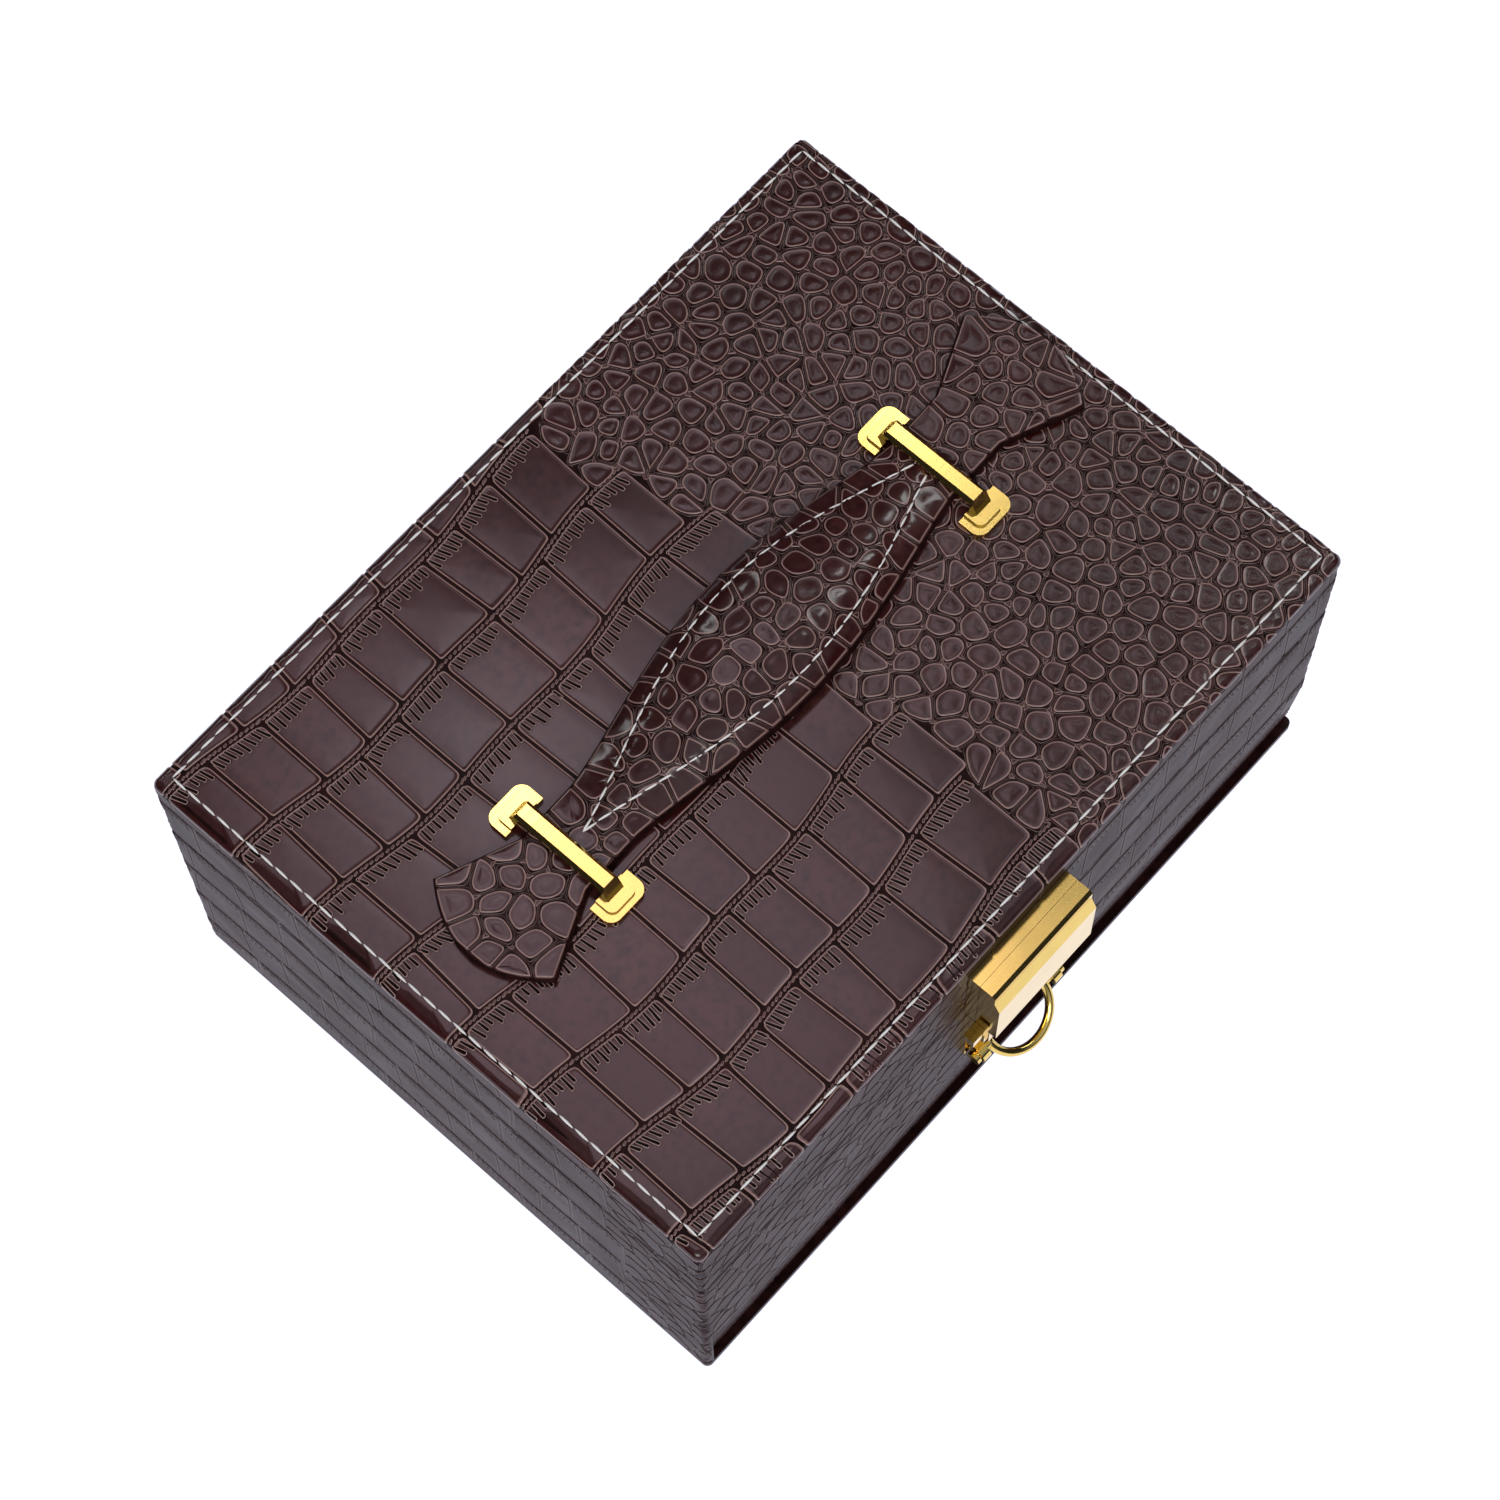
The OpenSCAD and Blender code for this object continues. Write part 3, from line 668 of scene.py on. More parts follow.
class Relief:
    """Collects raised shapes in the flat, by kind, and makes one mesh of each kind."""

    def __init__(self, wrap):
        self.wrap = wrap
        self.kinds = {}

    def raise_shape(self, kind, outline, rings, crown, middle=(0.62, 0.3), tone=0.6):
        """rings are (inset, height, shade); crown is the height at the middle."""
        n = len(outline)
        *levels, (top, _, top_shade) = nested_rings(outline, rings, crown, middle)
        shapes = self.kinds.setdefault(kind, {"points": [], "faces": [], "count": 0})
        for k, (points, height, shade) in enumerate(levels):
            # Tone is painted lower on the outer rings, so each scale darkens towards its crease as
            # painted shade.
            tone_shaded_to_crease = tone * (0.45 + 0.55 * k / len(levels))
            shapes["points"].append(np.column_stack([points, np.tile([height, shade, tone_shaded_to_crease], (n, 1))]))
        shapes["points"].append(np.array([[*top[0], crown, top_shade, tone]]))
        here = np.arange(n)
        after = (here + 1) % n
        for level in range(len(levels) - 1):
            a = shapes["count"] + level * n
            b = a + n
            shapes["faces"].extend(np.column_stack([a + here, a + after, b + after, b + here]).tolist())
        a = shapes["count"] + (len(levels) - 1) * n
        shapes["faces"].extend([(int(a + i), int(a + j), a + n) for i, j in zip(here, after)])
        shapes["count"] = a + n + 1

    def make(self, name, body, material):
        """Wraps the shapes, makes a mesh of each kind and fixes them to a body."""
        for kind, shapes in self.kinds.items():
            flat = np.vstack(shapes["points"])
            place = self.wrap(flat[:, 0], flat[:, 1], flat[:, 2]) * MM
            mesh = bpy.data.meshes.new(name + "_" + kind)
            mesh.from_pydata(place.tolist(), [], shapes["faces"])
            for attribute, column in (("shade", 3), ("tone", 4)):
                values = flat[:, column].astype(np.float32)
                mesh.attributes.new(attribute, "FLOAT", "POINT").data.foreach_set("value", values)
            mesh.polygons.foreach_set("use_smooth", [True] * len(mesh.polygons))
            mesh.materials.append(material)
            piece = bpy.data.objects.new(name + "_" + kind, mesh)
            bpy.context.scene.collection.objects.link(piece)
            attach(piece, body)
            corners = sum(len(face) - 2 for face in shapes["faces"])
            print(piece.name, "has", len(mesh.vertices), "points and", corners, "triangles")


print("an empty relief has", len(Relief(None).kinds), "kinds of shape")

# %% [markdown]
# ## Laying out the hide
# The profile of each kind of scale is a list of rings: how far in from its outline, how high, and which
# shade. A hide then says where it lies, how its rows run, how big its scales are and how deep the plate
# pressed it, and one random generator makes every scale a little different, in the same way each time.

# %% A hide and its profiles
# A shade of 0 paints crease shade, and a shade of 1 paints a rim highlight.
SCALE_RINGS = [(0, -0.1, 0.0), (0.13, 0.1, 0.3), (0.26, 0.22, 1.0), (0.44, 0.23, 0.9), (0.7, 0.15, 0.5),
    (1.2, 0.17, 0.5)]
PEBBLE_RINGS = [(0, -0.1, 0.0), (0.12, 0.1, 0.3), (0.24, 0.23, 1.0), (0.4, 0.24, 0.9), (0.7, 0.18, 0.5)]
NET_RINGS = [(0, -0.1, 0.0), (0.1, 0.1, 0.9), (0.22, 0.03, 0.1)]
SMALL_RINGS = [(0, -0.05, 0.0), (0.12, 0.16, 1.0), (0.26, 0.2, 0.8), (0.4, 0.17, 0.4)]
WRINKLE_RINGS = [(0, 0.15, 0.0), (0.12, 0.2, 0.0), (0.22, 0.3, 1.0), (0.36, 0.29, 1.0), (0.48, 0.2, 0.0)]


class Hide:
    """A stretch of hide over a region (x0, x1, y0, y1) of a relief, in millimetres."""

    def __init__(self, relief, region, pebbly, wave, row_start, row_gap, column, pebble, lift=1.0,
            seed=1, inside=None, step=1.0):
        self.relief, self.region, self.pebbly, self.wave = relief, region, pebbly, wave
        self.row_start, self.row_gap, self.column, self.pebble = row_start, row_gap, column, pebble
        self.lift, self.inside, self.step = lift, inside, step
        self.rng = np.random.default_rng(seed)
        self.squares, self.walls = [], []

    def press(self, kind, outline, rings, crown, middle=(0.62, 0.3), tone=0.6):
        """Raises one shape with its rings as high as this hide is pressed."""
        lifted = [(inset, self.lift * height, shade) for inset, height, shade in rings]
        self.relief.raise_shape(kind, outline, lifted, crown, middle, tone)


print("the rim of a wide scale is", SCALE_RINGS[3][1], "mm high")

# %% [markdown]
# The wide scales lie in rows. Each row is cut across by lines that lean a little, because no two scales
# of an animal are alike, and its edges follow one wave, so that rows never run into each other.

# %% Wide scales


def cut_squares(hide):
    """The wide scales, as (row, left, right, lean of the left side, lean of the right side)."""
    x0, x1, y0, y1 = hide.region
    rng = hide.rng
    squares = []
    first, last = (int((y - hide.row_start) // hide.row_gap) for y in (y0, y1))
    for row in range(first, last + 1):
        x = x0 - hide.column * rng.uniform(0.2, 1.0)
        lean = rng.uniform(-0.06, 0.06)
        while x < x1:
            after = x + hide.column * rng.uniform(0.78, 1.3)
            next_lean = rng.uniform(-0.07, 0.07)
            middle = (x + after) / 2, hide.row_start + hide.row_gap * (row + 0.5)
            if not hide.pebbly(*middle) and after > x0 + 1.5 and x < x1 - 1.5:
                squares.append((row, x, after, lean, next_lean))
            x, lean = after, next_lean
    return squares


def square_outline(hide, square):
    """The rounded outline of one wide scale, kept inside the region."""
    row, left, right, lean, next_lean = square
    x0, x1, y0, y1 = hide.region
    low, high = hide.row_start + hide.row_gap * row, hide.row_start + hide.row_gap * (row + 1)
    base = [(x, low + hide.wave(x) + 0.75) for x in np.linspace(left + 0.25, right - 0.25, 6)]
    base += [(x, high + hide.wave(x) - 0.75) for x in np.linspace(right - 0.25, left + 0.25, 6)]
    outline = []
    for x, y in base:
        side = lean + (next_lean - lean) * (x - left) / (right - left)
        outline.append((min(max(x + side * (y - (low + high) / 2), x0), x1), min(max(y, y0), y1)))
    return even_steps(round_corners(even_steps(np.array(outline), 2.0), 0.9, 2), 0.8 * hide.step)


sample = Hide(None, (0, 60, 0, 40), lambda x, y: False, lambda x: 0.0,
    row_start=0, row_gap=20, column=14, pebble=8)
print("a sample of 60 by 40 mm has", len(cut_squares(sample)), "wide scales")

# %% [markdown]
# Between two rows the hide is puckered. A comb of short wrinkles hangs from the upper edge of each wide
# scale, and a chain of small beads runs in the crease above it. Both are the same long round-ended shape
# in different sizes, so one helper draws them.

# %% Combs and beads


def capsule(centre, length, width, turn, sides):
    """A long round-ended outline, turned anticlockwise from the X direction."""
    angles = np.linspace(0, 2 * math.pi, sides, endpoint=False)
    x = width / 2 * np.cos(angles) + np.sign(np.cos(angles)) * (length - width) / 2
    y = width / 2 * np.sin(angles)
    c, s = math.cos(turn), math.sin(turn)
    return np.column_stack([centre[0] + c * x - s * y, centre[1] + s * x + c * y])


def press_comb(hide, row, left, right):
    """A comb of wrinkles along the upper edge of one wide scale."""
    x0, x1, y0, y1 = hide.region
    rng = hide.rng
    high = hide.row_start + hide.row_gap * (row + 1)
    x, end = left + rng.uniform(0.8, 2.4), right - rng.uniform(0.8, 1.6)
    tilt = math.pi / 2 + rng.uniform(-0.15, 0.35)
    while x < end:
        length = rng.uniform(3.4, 5.4)
        y = high + hide.wave(x) - 0.7 - length / 2
        if y0 + 3 < y < y1 - 1 and x0 + 1 < x < x1 - 1:
            turn = tilt + rng.uniform(-0.1, 0.1)
            tooth = capsule((x, y), length, 1.5, turn, int(15 / hide.step))
            hide.press("combs", tooth, WRINKLE_RINGS, hide.lift * 0.24, (0.5,), 0.3)
        x += rng.uniform(1.6, 1.95)


def press_beads(hide, row, left, right):
    """A chain of beads in the crease over one wide scale."""
    x0, x1, y0, y1 = hide.region
    rng = hide.rng
    x = left
    while x < right:
        y = hide.row_start + hide.row_gap * (row + 1) + hide.wave(x)
        if y0 + 1 < y < y1 - 1 and x0 + 1 < x < x1 - 1:
            slope = math.atan(hide.wave(x + 0.5) - hide.wave(x - 0.5)) + 0.35
            bead = capsule((x, y), rng.uniform(1.3, 1.9), 0.8, slope, int(11 / hide.step))
            hide.press("beads", bead, SMALL_RINGS, hide.lift * 0.18, (0.5,), 0.3)
        x += rng.uniform(1.3, 1.7)


def press_square(hide, square):
    """Presses one wide scale with its comb and beads, and notes its outline as a wall."""
    row, left, right = square[:3]
    outline = square_outline(hide, square)
    if np.ptp(outline[:, 0]) < 1.2 or np.ptp(outline[:, 1]) < 1.2:
        return
    crown = hide.lift * (0.2 + hide.rng.uniform(-0.04, 0.04))
    hide.press("squares", outline, SCALE_RINGS, crown, tone=hide.rng.beta(1.8, 1.0))
    hide.walls.extend(outline[::3])
    press_comb(hide, row, left, right)
    press_beads(hide, row, left, right)


print("a comb's tooth has", len(capsule((0, 0), 4.4, 1.5, 0, 15)), "points round it")

# %% [markdown]
# The pebbles start from a loose honeycomb, shaken so that no row shows. Where the honeycomb stops short
# of the wide scales it would leave bare leather, so more points are dropped at random and kept if they
# have room.

# %% Places of the pebbles


def clear_of_squares(hide, x, y, margin=2.2):
    """True where a place is not on a wide scale, nor within the margin round it."""
    for row, left, right, *_ in hide.squares:
        up = y - hide.wave(x) - hide.row_start - hide.row_gap * row
        if left - margin < x < right + margin and -margin < up < hide.row_gap + margin:
            return False
    return True


def scatter_pebbles(hide):
    """The middles of the pebbles."""
    x0, x1, y0, y1 = hide.region
    pebble, rng = hide.pebble, hide.rng
    centres = []
    for row in range(-2, int((y1 - y0) / (0.9 * pebble)) + 4):
        for x in np.arange(x0 - 2 * pebble, x1 + 2 * pebble, pebble):
            x += (row % 2) * 0.5 * pebble + rng.uniform(-0.3, 0.3) * pebble
            y = y0 + 0.9 * pebble * row + rng.uniform(-0.27, 0.27) * pebble
            if clear_of_squares(hide, x, y) and (hide.inside is None or hide.inside(x, y)):
                centres.append((x, y))
    for _ in range(int((x1 - x0) * (y1 - y0) / 3) if hide.inside is None else 0):
        x, y = rng.uniform(x0, x1), rng.uniform(y0, y1)
        room = np.hypot(*(np.array(centres) - (x, y)).T).min()
        if room > 0.66 * pebble and clear_of_squares(hide, x, y):
            centres.append((x, y))
    return np.array(centres)


print("with no wide scales, the same sample has", len(scatter_pebbles(sample)), "pebbles")

# %% [markdown]
# Each pebble is a domed cell inside a slightly larger, flat one. The flat ones together form the fine
# net that shows between the pebbles. On the strap a cell may reach past the cut edge, and then its
# outline is drawn in until it lies on the leather.

# %% Pebbles and their net


def pull_in(outline, centre, inside):
    """Moves points that are not inside straight towards the centre until they are."""
    pulled = []
    for point in outline:
        low, high = 0.0, 1.0
        if not inside(*point):
            for _ in range(9):
                t = (low + high) / 2
                low, high = (t, high) if inside(*(centre + t * (point - centre))) else (low, t)
            point = centre + low * (point - centre)
        pulled.append(point)
    return even_steps(np.array(pulled), 0.62)


def stays_close(outline, centre, limit):
    """True when an outline stays close to its centre."""
    return max(math.hypot(x - centre[0], y - centre[1]) for x, y in outline) < limit


def press_pebbles(hide, points):
    """Presses every pebble and its net, and returns the places where cells meet."""
    rng, inside = hide.rng, hide.inside
    meetings = {}
    for index, centre in enumerate(points):
        crown = hide.lift * (0.3 + rng.uniform(-0.05, 0.05))
        tone = rng.beta(1.6, 1.4)
        for kind, gap, cut, rings, top in (("net", 0.08, 0.8, NET_RINGS, -0.05),
                ("pebbles", 0.36, 2.4, PEBBLE_RINGS, crown)):
            outline = cell(points, index, hide.region, gap, hide.walls)
            if len(outline) < 3 or not (inside or stays_close(outline, centre, 1.6 * hide.pebble)):
                continue
            outline = even_steps(round_corners(outline, cut * rng.uniform(0.8, 1.1)), 0.8 * hide.step)
            if inside:
                outline = pull_in(outline, centre, inside)
            if np.hypot(*np.ptp(outline, axis=0)) > 2.2:
                hide.press(kind, outline, rings, top, (0.5,), tone)
        for x, y in cell(points, index, hide.region, 0.0, hide.walls):
            meetings[round(x, 1), round(y, 1)] = True
    return list(meetings)


print("a pebble's rim is", PEBBLE_RINGS[3][1], "mm high")

# %% [markdown]
# Where three pebbles meet there is room for a small three-cornered scale, whose tips point into the
# creases. About a third of the places are left empty, as on real hide.

# %% Corner scales


def press_corners(hide, points, meetings):
    """Small three-cornered scales where three pebbles meet."""
    x0, x1, y0, y1 = hide.region
    rng, inside = hide.rng, hide.inside
    for x, y in meetings:
        if not (x0 + 1 < x < x1 - 1 and y0 + 1 < y < y1 - 1) or rng.random() < 0.35:
            continue
        by_wall = np.any(np.hypot(*(hide.walls - (x, y)).T) < 1.8)
        if by_wall or (inside and not inside(x, 1.15 * y)):
            continue
        here = np.array([x, y])
        near = points[np.argsort(np.hypot(points[:, 0] - x, points[:, 1] - y))[:3]]
        size = rng.uniform(1.2, 1.5)
        tips = [here + size * (here - c) / np.hypot(*(here - c)) for c in near]
        tips.sort(key=lambda p: math.atan2(p[1] - y, p[0] - x))
        outline = even_steps(round_corners(tips, 0.5, 2), 0.35)
        hide.press("corners", outline, SMALL_RINGS, hide.lift * 0.2, (0.5,), 0.5)


def lay_hide(hide):
    """Fills a hide with all its scales."""
    hide.squares = cut_squares(hide)
    for square in hide.squares:
        press_square(hide, square)
    hide.walls = np.array(hide.walls).reshape(-1, 2)
    points = scatter_pebbles(hide)
    press_corners(hide, points, press_pebbles(hide, points))
    print("hide laid:", len(hide.squares), "square scales and", len(points), "pebbles")


print("a corner scale's rim is", SMALL_RINGS[1][1], "mm high")

# %% [markdown]
# ## The lid's leather
# One piece of hide covers the top of the lid and rolls over its edge. Laying flat scales on the top and
# others on the edge would leave a break, so the wrap keeps lengths on the hide the same, and a scale
# that crosses the edge bends round it as the real one does.

# %% Wrap over the lid
TURN = ROLL * math.pi / 2


def wrap_lid(x, y, height):
    """Takes the flat hide to the top of the lid and round its rolled edge."""
    dx = np.sign(x) * np.maximum(np.abs(x) - INNER_W, 0)
    dy = np.sign(y) * np.maximum(np.abs(y) - INNER_D, 0)
    out = np.hypot(dx, dy)
    safe = np.maximum(out, 1e-9)
    angle = np.minimum(out / ROLL, math.pi / 2)
    drop = np.maximum(out - ROLL * math.pi / 2, 0)
    height = height + 0.15 * np.sin(2 * angle)
    reach = (ROLL + height) * np.sin(angle)
    return np.column_stack([
        np.clip(x, -INNER_W, INNER_W) + dx / safe * reach,
        np.clip(y, -INNER_D, INNER_D) + dy / safe * reach,
        TOP - ROLL + (ROLL + height) * np.cos(angle) - drop,
    ])


print("the hide runs", round(TURN, 2), "mm round the rolled edge")

# %% [markdown]
# The wide scales of the top lie left of a wavy line a little right of the middle, and pebbles fill the
# rest. The rows wander on two waves of different length, because one wave alone would look regular.

# %% Scales of the lid's top


def top_wave(x):
    """How the rows of the top wander from a straight line."""
    return 2.0 * math.sin((x + 20) / 24) + 0.9 * math.sin(x / 9 + 1)


def top_pebbly(x, y):
    """True where the top is pebbly."""
    return x > 15 + 5 * math.sin(y / 17)


top_region = (-INNER_W - TURN, INNER_W + TURN, -INNER_D - TURN, INNER_D + TURN)
relief = Relief(wrap_lid)
lay_hide(Hide(relief, top_region, top_pebbly, top_wave,
    row_start=-80, row_gap=22.8, column=14.0, pebble=7.6, seed=4))
relief.make("lid_top", "lid", leather_top)

# %% [markdown]
# The sides of the lid and of the body are each covered by a band of hide that runs once round the box.
# Four separate panels would need a seam at every corner. The join of a band is at the middle of the
# back, where a case maker hides it, and the front of the body's band follows the set-back foot.

# %% Wrap round the sides
SIDE_START = INNER_W + TURN
SIDE_END = SIDE_START + 2 * INNER_D
BACK_START = SIDE_END + TURN
BAND_HALF = BACK_START + INNER_W


def wrap_band(foot):
    """A wrap of the band; foot is True where the front is set back at its foot."""

    def wrap(u, z, height):
        s = np.abs(u)
        first = np.clip((s - INNER_W) / ROLL, 0, math.pi / 2)
        second = np.clip((s - SIDE_END) / ROLL, 0, math.pi / 2)
        angle = first + second
        nx, ny = np.sin(angle), -np.cos(angle)
        height = height + 0.15 * np.abs(np.sin(2 * angle))
        x = np.where(s < BACK_START, np.minimum(s, INNER_W), INNER_W - (s - BACK_START))
        y = np.clip(s - SIDE_START, 0, 2 * INNER_D) - INNER_D
        back = np.zeros_like(z)
        if foot:
            rise = np.clip((FOOT_TOP - z) / (FOOT_TOP - body_low[2]), 0, 1)
            back = np.where((s < INNER_W) | ((s < SIDE_START) & (u > 0)), FOOT_STEP * rise, 0)
        return np.column_stack([
            np.sign(u) * (x + nx * (ROLL + height)),
            y + ny * (ROLL + height) + back,
            z,
        ])

    return wrap


print("a band is", round(2 * BAND_HALF, 1), "mm long")

# %% [markdown]
# Both bands are cut from one hide, so they share their rows and waves. Round the front left corner they
# are pebbly, and the rest has rows. The sides are pressed less deep than the top, and their outlines
# have fewer points, since they are seen at a slant and from further off.

# %% Scales of the sides


def side_wave(u):
    """How the rows of the sides wander from a straight line."""
    return 1.6 * math.sin(u / 23) + 0.7 * math.sin(u / 8.5)


def side_pebbly(u, z):
    """True round the front left corner, where the sides are pebbly."""
    return -144 + 4 * math.sin(z / 9) < u < -22 + 5 * math.sin(z / 11)


bands = (
    ("lid_side", "lid", False, lid_low[2] + 0.9, TOP - ROLL, 11),
    ("body_side", "case", True, body_low[2] + 0.1, body_high[2] - 0.9, 12),
)
for name, body, foot, low, high, seed in bands:
    relief = Relief(wrap_band(foot))
    lay_hide(Hide(relief, (-BAND_HALF, BAND_HALF, low, high), side_pebbly, side_wave,
        row_start=-6.5, row_gap=21.5, column=14.0, pebble=8.4, lift=0.6, seed=seed, step=1.4))
    relief.make(name, body, leather_side)

# %% [markdown]
# ## Stitches
# The lid and the strap are sewn with thick white thread. A dashed line painted on would look flat from
# close by, so each stitch is a short round-ended roll that lies a little askew and dips into the leather
# at both ends.

# %% One stitch
STITCH_RINGS, STITCH_SIDES = 7, 8


def one_stitch(a, b, radius, askew=0.1):
    """Points and faces of one stitch from a to b, in millimetres."""
    forward = (b - a) / np.linalg.norm(b - a)
    side = np.cross(forward, (0, 0, 1))
    side /= np.linalg.norm(side)
    up = np.cross(side, forward)
    points, faces = [], []
    for i in range(STITCH_RINGS + 1):
        t = i / STITCH_RINGS
        thick = radius * max(0.12, math.sin(math.pi * t) ** 0.45)
        centre = a + (b - a) * t + side * askew * (2 * t - 1) - up * 0.45 * radius * (2 * t - 1) ** 4
        for j in range(STITCH_SIDES):
            angle = 2 * math.pi * j / STITCH_SIDES
            points.append(centre + thick * (math.cos(angle) * side + 0.8 * math.sin(angle) * up))
    for i in range(STITCH_RINGS):
        for j in range(STITCH_SIDES):
            p, q = i * STITCH_SIDES + j, i * STITCH_SIDES + (j + 1) % STITCH_SIDES
            faces.append((p, p + STITCH_SIDES, q + STITCH_SIDES, q))
    faces.append(tuple(range(STITCH_SIDES)))
    faces.append(tuple(STITCH_RINGS * STITCH_SIDES + j for j in reversed(range(STITCH_SIDES))))
    return points, faces


print("a stitch has", (STITCH_RINGS + 1) * STITCH_SIDES, "points")

# %% [markdown]
# A seam is a row of stitches. Its length is divided evenly, so that a row always ends with a whole
# stitch, as it does when the sewer adjusts the last few. All the rows of one seam become one mesh.

# %% A seam


def mesh_piece(name, points, faces, material):
    """A smooth piece made of points in millimetres."""
    mesh = bpy.data.meshes.new(name)
    mesh.from_pydata([tuple(c * MM for c in p) for p in points], [], faces)
    mesh.polygons.foreach_set("use_smooth", [True] * len(mesh.polygons))
    mesh.materials.append(material)
    piece = bpy.data.objects.new(name, mesh)
    bpy.context.scene.collection.objects.link(piece)
    return piece


def sew(name, paths, body, pitch=4.7, length=4.55, radius=0.33):
    """Makes one piece of all the stitches along several paths of (x, y, z) points."""
    points, faces, stitches = [], [], 0
    for path in paths:
        path = np.array(path, float)
        steps = np.sqrt((np.diff(path, axis=0) ** 2).sum(axis=1))
        along = np.concatenate([[0], np.cumsum(steps)])
        count = max(1, int(round(along[-1] / pitch)))
        gap = along[-1] / count
        for k in range(count):
            middle = (k + 0.5) * gap
            ends = [middle - length / 2, middle + length / 2]
            a, b = np.stack([np.interp(ends, along, path[:, i]) for i in range(3)], axis=1)
            more, more_faces = one_stitch(a, b, radius)
            faces += [tuple(len(points) + i for i in face) for face in more_faces]
            points += more
        stitches += count
    piece = mesh_piece(name, points, faces, white_thread)
    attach(piece, body)
    print(name, "has", stitches, "stitches")


print("seams are sewn with", white_thread.name)

# %% [markdown]
# One seam runs round the lid, a few millimetres in from its edge. It lies a little closer to the right
# and back edges than to the left and front ones. A seam dead even all round would look made by a
# machine, and this small drift is what a hand leaves.

# %% Stitches round the lid
SEAM_FRONT = HALF_D - 4.1
SEAM_BACK = HALF_D - 3.1
SEAM_LEFT = HALF_W - 4.2
SEAM_RIGHT = HALF_W - 3.1
THREAD_Z = TOP + 0.45
seam_corners = [(-SEAM_LEFT, -SEAM_FRONT), (SEAM_RIGHT, -SEAM_FRONT), (SEAM_RIGHT, SEAM_BACK),
    (-SEAM_LEFT, SEAM_BACK)]
lid_seams = []
for (ax, ay), (bx, by) in zip(seam_corners, seam_corners[1:] + seam_corners[:1]):
    lid_seams.append([(ax, ay, THREAD_Z), (bx, by, THREAD_Z)])
sew("lid_stitches", lid_seams, "lid")

# %% [markdown]
# ## The strap
# The handle is a strap with a padded leaf in its middle. Swelling a flat mesh with a cloth solver would
# pad it too, but the seam has to stay on its line, so the shape is written as a height over the strap:
# the padding swells between the seams, and the flange outside them slopes down to the cut edge.

# %% Shape of the strap
STRAP_X, STRAP_Y = 7.3, 2.3
STRAP_TURN = math.radians(0.9)
STRAP_BASE = 110.3
STRAP_LEN = 208.6
TAB_TIP = 8.5
STRAP_HALF, NECK_HALF, TAB_HALF = 18.5, 10.2, 19.0
LEAF_LEN, LEAF_HALF = 65.0, 14.0
THICK, EDGE_ROUND = 3.2, 1.2
SWELL_END, NECK_END = 58, 75
SEAM_RISE, DOME_RISE = 3.4, 2.6


def strap_half(s):
    """Half width of the strap at s along its length from the middle."""
    a = abs(s)
    if a < SWELL_END:
        return NECK_HALF + (STRAP_HALF - NECK_HALF) * math.cos(math.pi / 2 * a / SWELL_END) ** 1.3
    if a < NECK_END:
        return NECK_HALF
    end = STRAP_LEN / 2
    if a < end - TAB_TIP:
        return NECK_HALF + (TAB_HALF - NECK_HALF) * (a - NECK_END) / (end - TAB_TIP - NECK_END)
    return TAB_HALF * math.sqrt(max(0.0, (end - a) / TAB_TIP))


def leaf_half(s):
    """Half width of the padded leaf, which is where the stitches run."""
    if abs(s) >= LEAF_LEN:
        return 0.0
    return LEAF_HALF * math.cos(math.pi / 2 * s / LEAF_LEN) ** 1.2


print("the strap is", [round(2 * strap_half(s), 1) for s in (0, 66, 92)], "mm wide along its length")

# %% [markdown]
# The middle of the strap bows up a little, so that a finger gets under it. Its upper surface is given
# as a height, and one more helper takes a place on the strap to the case, where the strap lies slightly
# turned.

# %% Height of the strap


def strap_rise(s):
    """How far the strap bows up from the lid."""
    return 2.2 * math.cos(math.pi / 2 * s / SWELL_END) ** 2 if abs(s) < SWELL_END else 0.0


def strap_top(s, y):
    """Height of the upper surface over the strap's base plane."""
    half, leaf = strap_half(s), leaf_half(s)
    swell = (leaf / LEAF_HALF) ** 0.8
    height = strap_rise(s) + THICK
    a = abs(y)
    if leaf > 0.3 and a < leaf:
        dome = (1 - (a / leaf) ** 2) ** 0.55
        height += swell * (SEAM_RISE + DOME_RISE * dome)
    elif leaf > 0.3:
        t = min(1.0, (a - leaf) / max(half - leaf, 0.5))
        height += swell * SEAM_RISE * (1 - t**1.5)
    edge = max(0.0, a - (half - EDGE_ROUND)) / EDGE_ROUND
    return height - 1.0 * min(edge, 1.0) ** 2.5


def on_strap(s, y, z):
    """Takes a place on the strap to the case's frame."""
    c, d = math.cos(STRAP_TURN), math.sin(STRAP_TURN)
    return (STRAP_X + c * s - d * y, STRAP_Y + d * s + c * y, STRAP_BASE + z)


def wrap_strap(s, y, height):
    """Takes the flat hide to the upper surface of the strap."""
    top = np.array([strap_top(a, b) for a, b in zip(s, y)])
    x, w, z = on_strap(s, y, top + height)
    return np.column_stack([x, w, z])


print("the padding is", round(strap_top(0, 0) - THICK - strap_rise(0), 1), "mm high in the middle")

# %% [markdown]
# One skin is lofted along the strap: a ring of points goes over the top, round the cut edge and back
# underneath, and stations lie closer together towards the tips, where the outline turns. The skin takes
# the place of the plain strap and its pad.

# %% Skin of the strap
ACROSS = 25
strap_points, strap_faces = [], []
tip = STRAP_LEN / 2 - TAB_TIP * np.linspace(1, 0, 12) ** 2
stations = np.concatenate([-tip[::-1], np.linspace(-tip[0], tip[0], 121)[1:-1], tip])
for s in stations:
    half = max(strap_half(s), 0.4)
    low = strap_rise(s)
    across = np.sin(np.linspace(-math.pi / 2, math.pi / 2, ACROSS))
    top = [(t * half, strap_top(s, t * half)) for t in across]
    side = [(half + 0.25, low + 1.4), (half - 0.1, low + 0.3), (half - 0.8, low)]
    ring = top + side + [(-y, z) for y, z in reversed(side)]
    strap_points += [on_strap(s, y, z) for y, z in ring]
around = ACROSS + 6
for i in range(len(stations) - 1):
    for j in range(around):
        a, b = i * around + j, i * around + (j + 1) % around
        strap_faces.append((a, b, b + around, a + around))
strap_faces.append(tuple(reversed(range(around))))
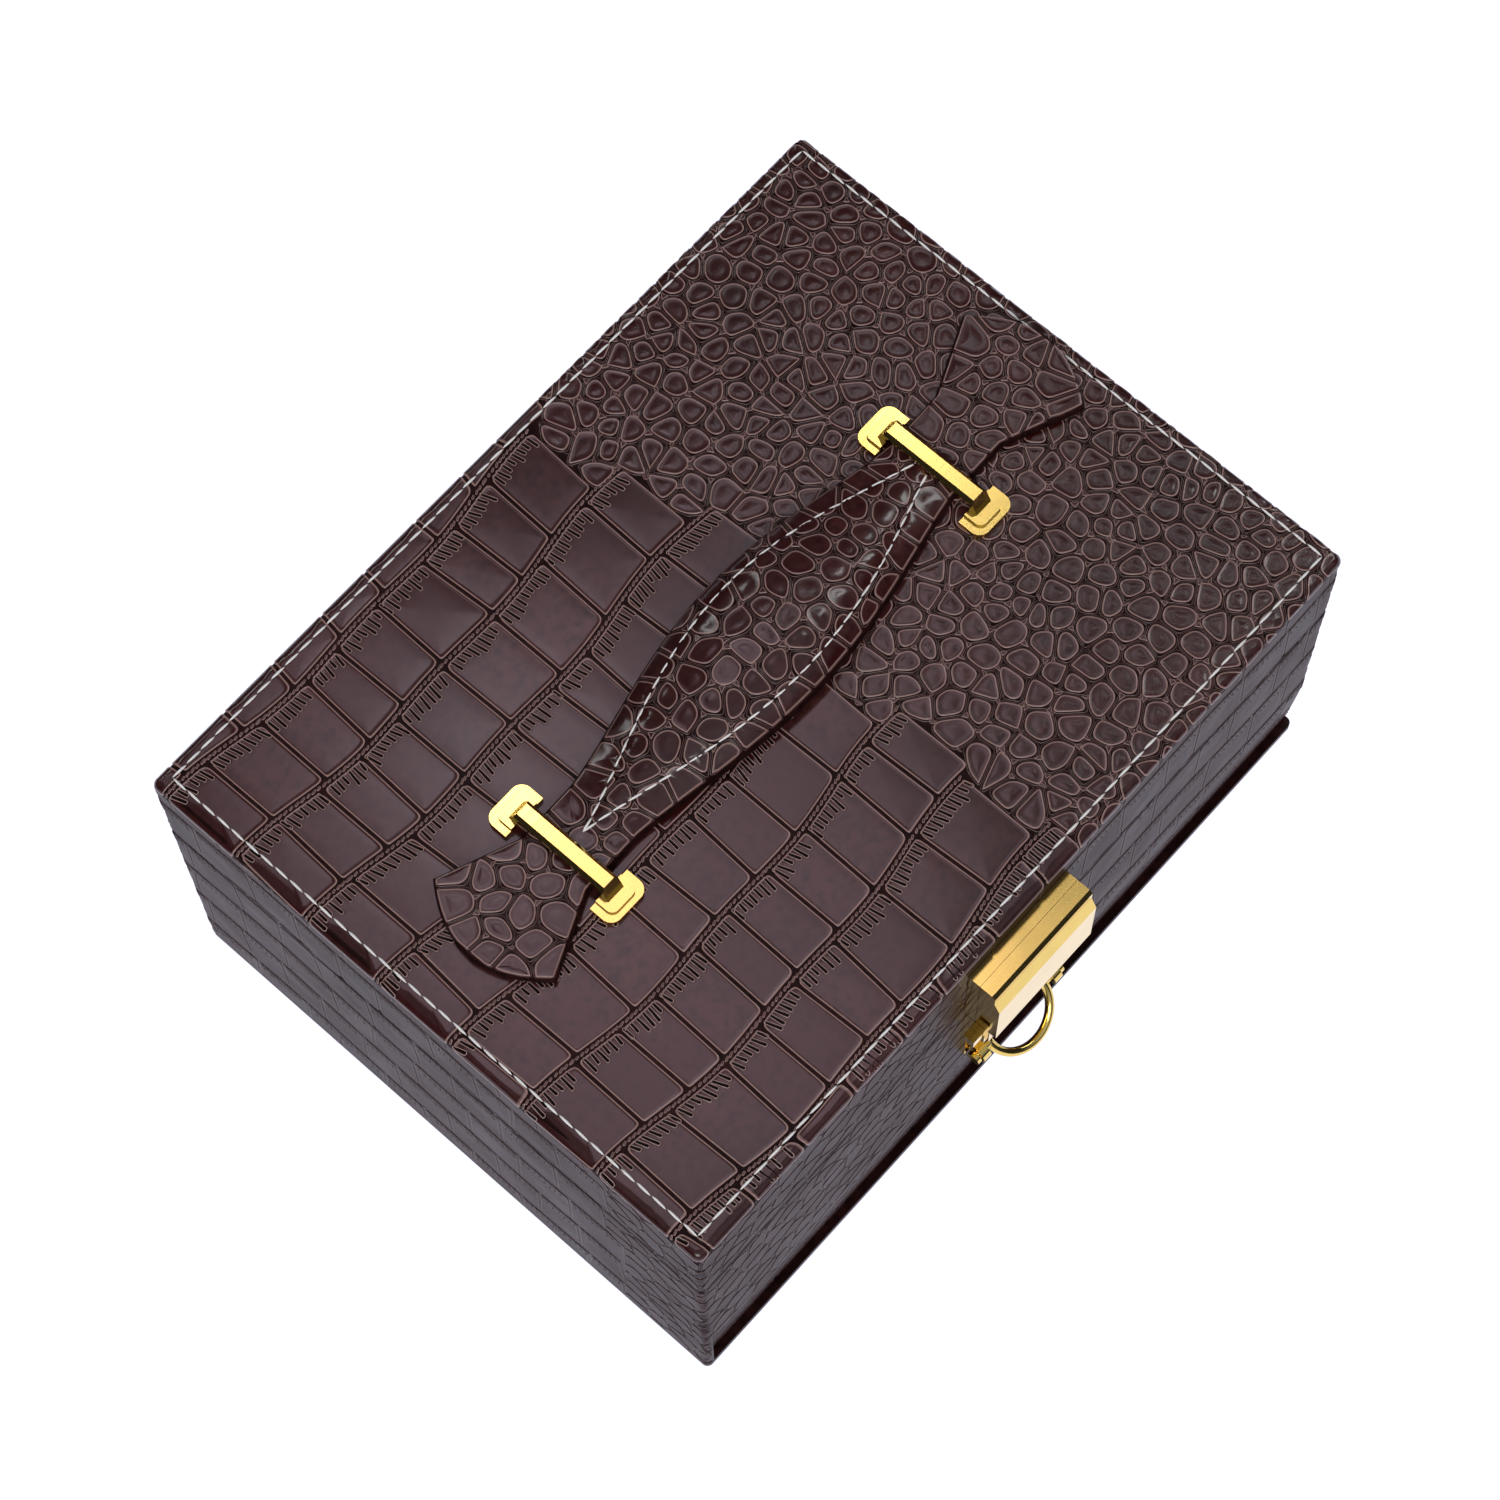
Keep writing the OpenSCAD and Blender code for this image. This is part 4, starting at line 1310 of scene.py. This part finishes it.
strap_faces.append(tuple((len(stations) - 1) * around + j for j in range(around)))
padded_strap = mesh_piece("padded_strap", strap_points, strap_faces, shaded_plain_leather)
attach(padded_strap, "handle_strap")
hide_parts("strap", "strap_pad")
print("padded_strap has", len(strap_points), "points")

# %% [markdown]
# The strap is cut from the pebbly part of the hide. The same helper lays its scales, told only where
# the leather ends, and the wrap sets them on the padded surface.

# %% Scales of the strap


def on_leather(s, y):
    """True where a scale still lies on the strap."""
    return abs(s) < STRAP_LEN / 2 - 0.5 and abs(y) < strap_half(s) - 0.4


STRAP_REGION = (-106, 106, -21, 21)
relief = Relief(wrap_strap)
lay_hide(Hide(relief, STRAP_REGION, lambda x, y: True, lambda x: 0.0,
    row_start=0, row_gap=50, column=50, pebble=7.2, seed=21, inside=on_leather))
relief.make("strap", "handle_strap", leather_top)

# %% [markdown]
# Two rows of stitches hold the padding. They follow the edge of the leaf, meet at its left tip and stop
# just short of the right one. One closed loop could do it too, but a stitch would then cut across each
# sharp tip, so each side has a row of its own. The thread is a little finer than on the lid.

# %% Stitches of the strap
leaf_paths = []
for side in (-1, 1):
    line = [(s, side * leaf_half(s)) for s in np.linspace(-LEAF_LEN, LEAF_LEN - 4, 60)]
    leaf_paths.append([on_strap(s, y, strap_top(s, y) + 0.35) for s, y in line])
sew("strap_stitches", leaf_paths, "handle_strap", pitch=4.2, length=4.05, radius=0.3)

# %% [markdown]
# ## The ring rolls
# Rings are pushed in between two soft rolls. A roll is a tube of velvet drawn over foam and gathered at
# its ends. A plain cylinder looks like wood, so the roll is turned from rings that are fullest in the
# middle, dip a little where it was stuffed unevenly, and close in pleats.

# %% A soft roll


def soft_roll(node, seed):
    """A stuffed velvet roll in the place of a plain one."""
    rng = np.random.default_rng(seed)
    low, high = span(node)
    radius = (high[1] - low[1]) / 2
    y, z = (low[1] + high[1]) / 2, (low[2] + high[2]) / 2
    stations, around, closing = 70, 28, 3.0
    waves = rng.uniform(0, 2 * math.pi, 3)
    points, faces = [], []
    for i in range(stations + 1):
        t = (1 - math.cos(math.pi * i / stations)) / 2
        x = low[0] + t * (high[0] - low[0])
        end = min(x - low[0], high[0] - x)
        close = math.sqrt(max(0.0, 1 - (1 - min(end / closing, 1)) ** 2))
        full = 0.985 - 0.012 * math.sin(x / 11 + waves[0]) - 0.008 * math.sin(x / 4.3 + waves[1])
        for j in range(around):
            angle = 2 * math.pi * j / around
            gather = 1 - 0.07 * (1 - close) * math.cos(7 * angle + waves[2])
            r = radius * full * max(close, 0.05) * gather
            points.append((x, y + r * math.cos(angle), z + r * math.sin(angle)))
    for i in range(stations):
        for j in range(around):
            p, q = i * around + j, i * around + (j + 1) % around
            faces.append((p, p + around, q + around, q))
    faces.append(tuple(range(around)))
    faces.append(tuple(stations * around + j for j in reversed(range(around))))
    roll = mesh_piece("soft_" + node, points, faces, lining)
    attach(roll, "tray")
    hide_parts(node)
    return round(radius, 2)


print("the first roll starts at", span("ring_roll_1")[0].round(1), "mm")

# %% [markdown]
# The tray holds five rolls. Copies of one roll would show the same dips side by side, so each is made
# with a seed of its own, and each takes the place of one plain roll.

# %% Soft ring rolls
for i in range(1, 6):
    print("roll", i, "radius", soft_roll(f"ring_roll_{i}", 30 + i))
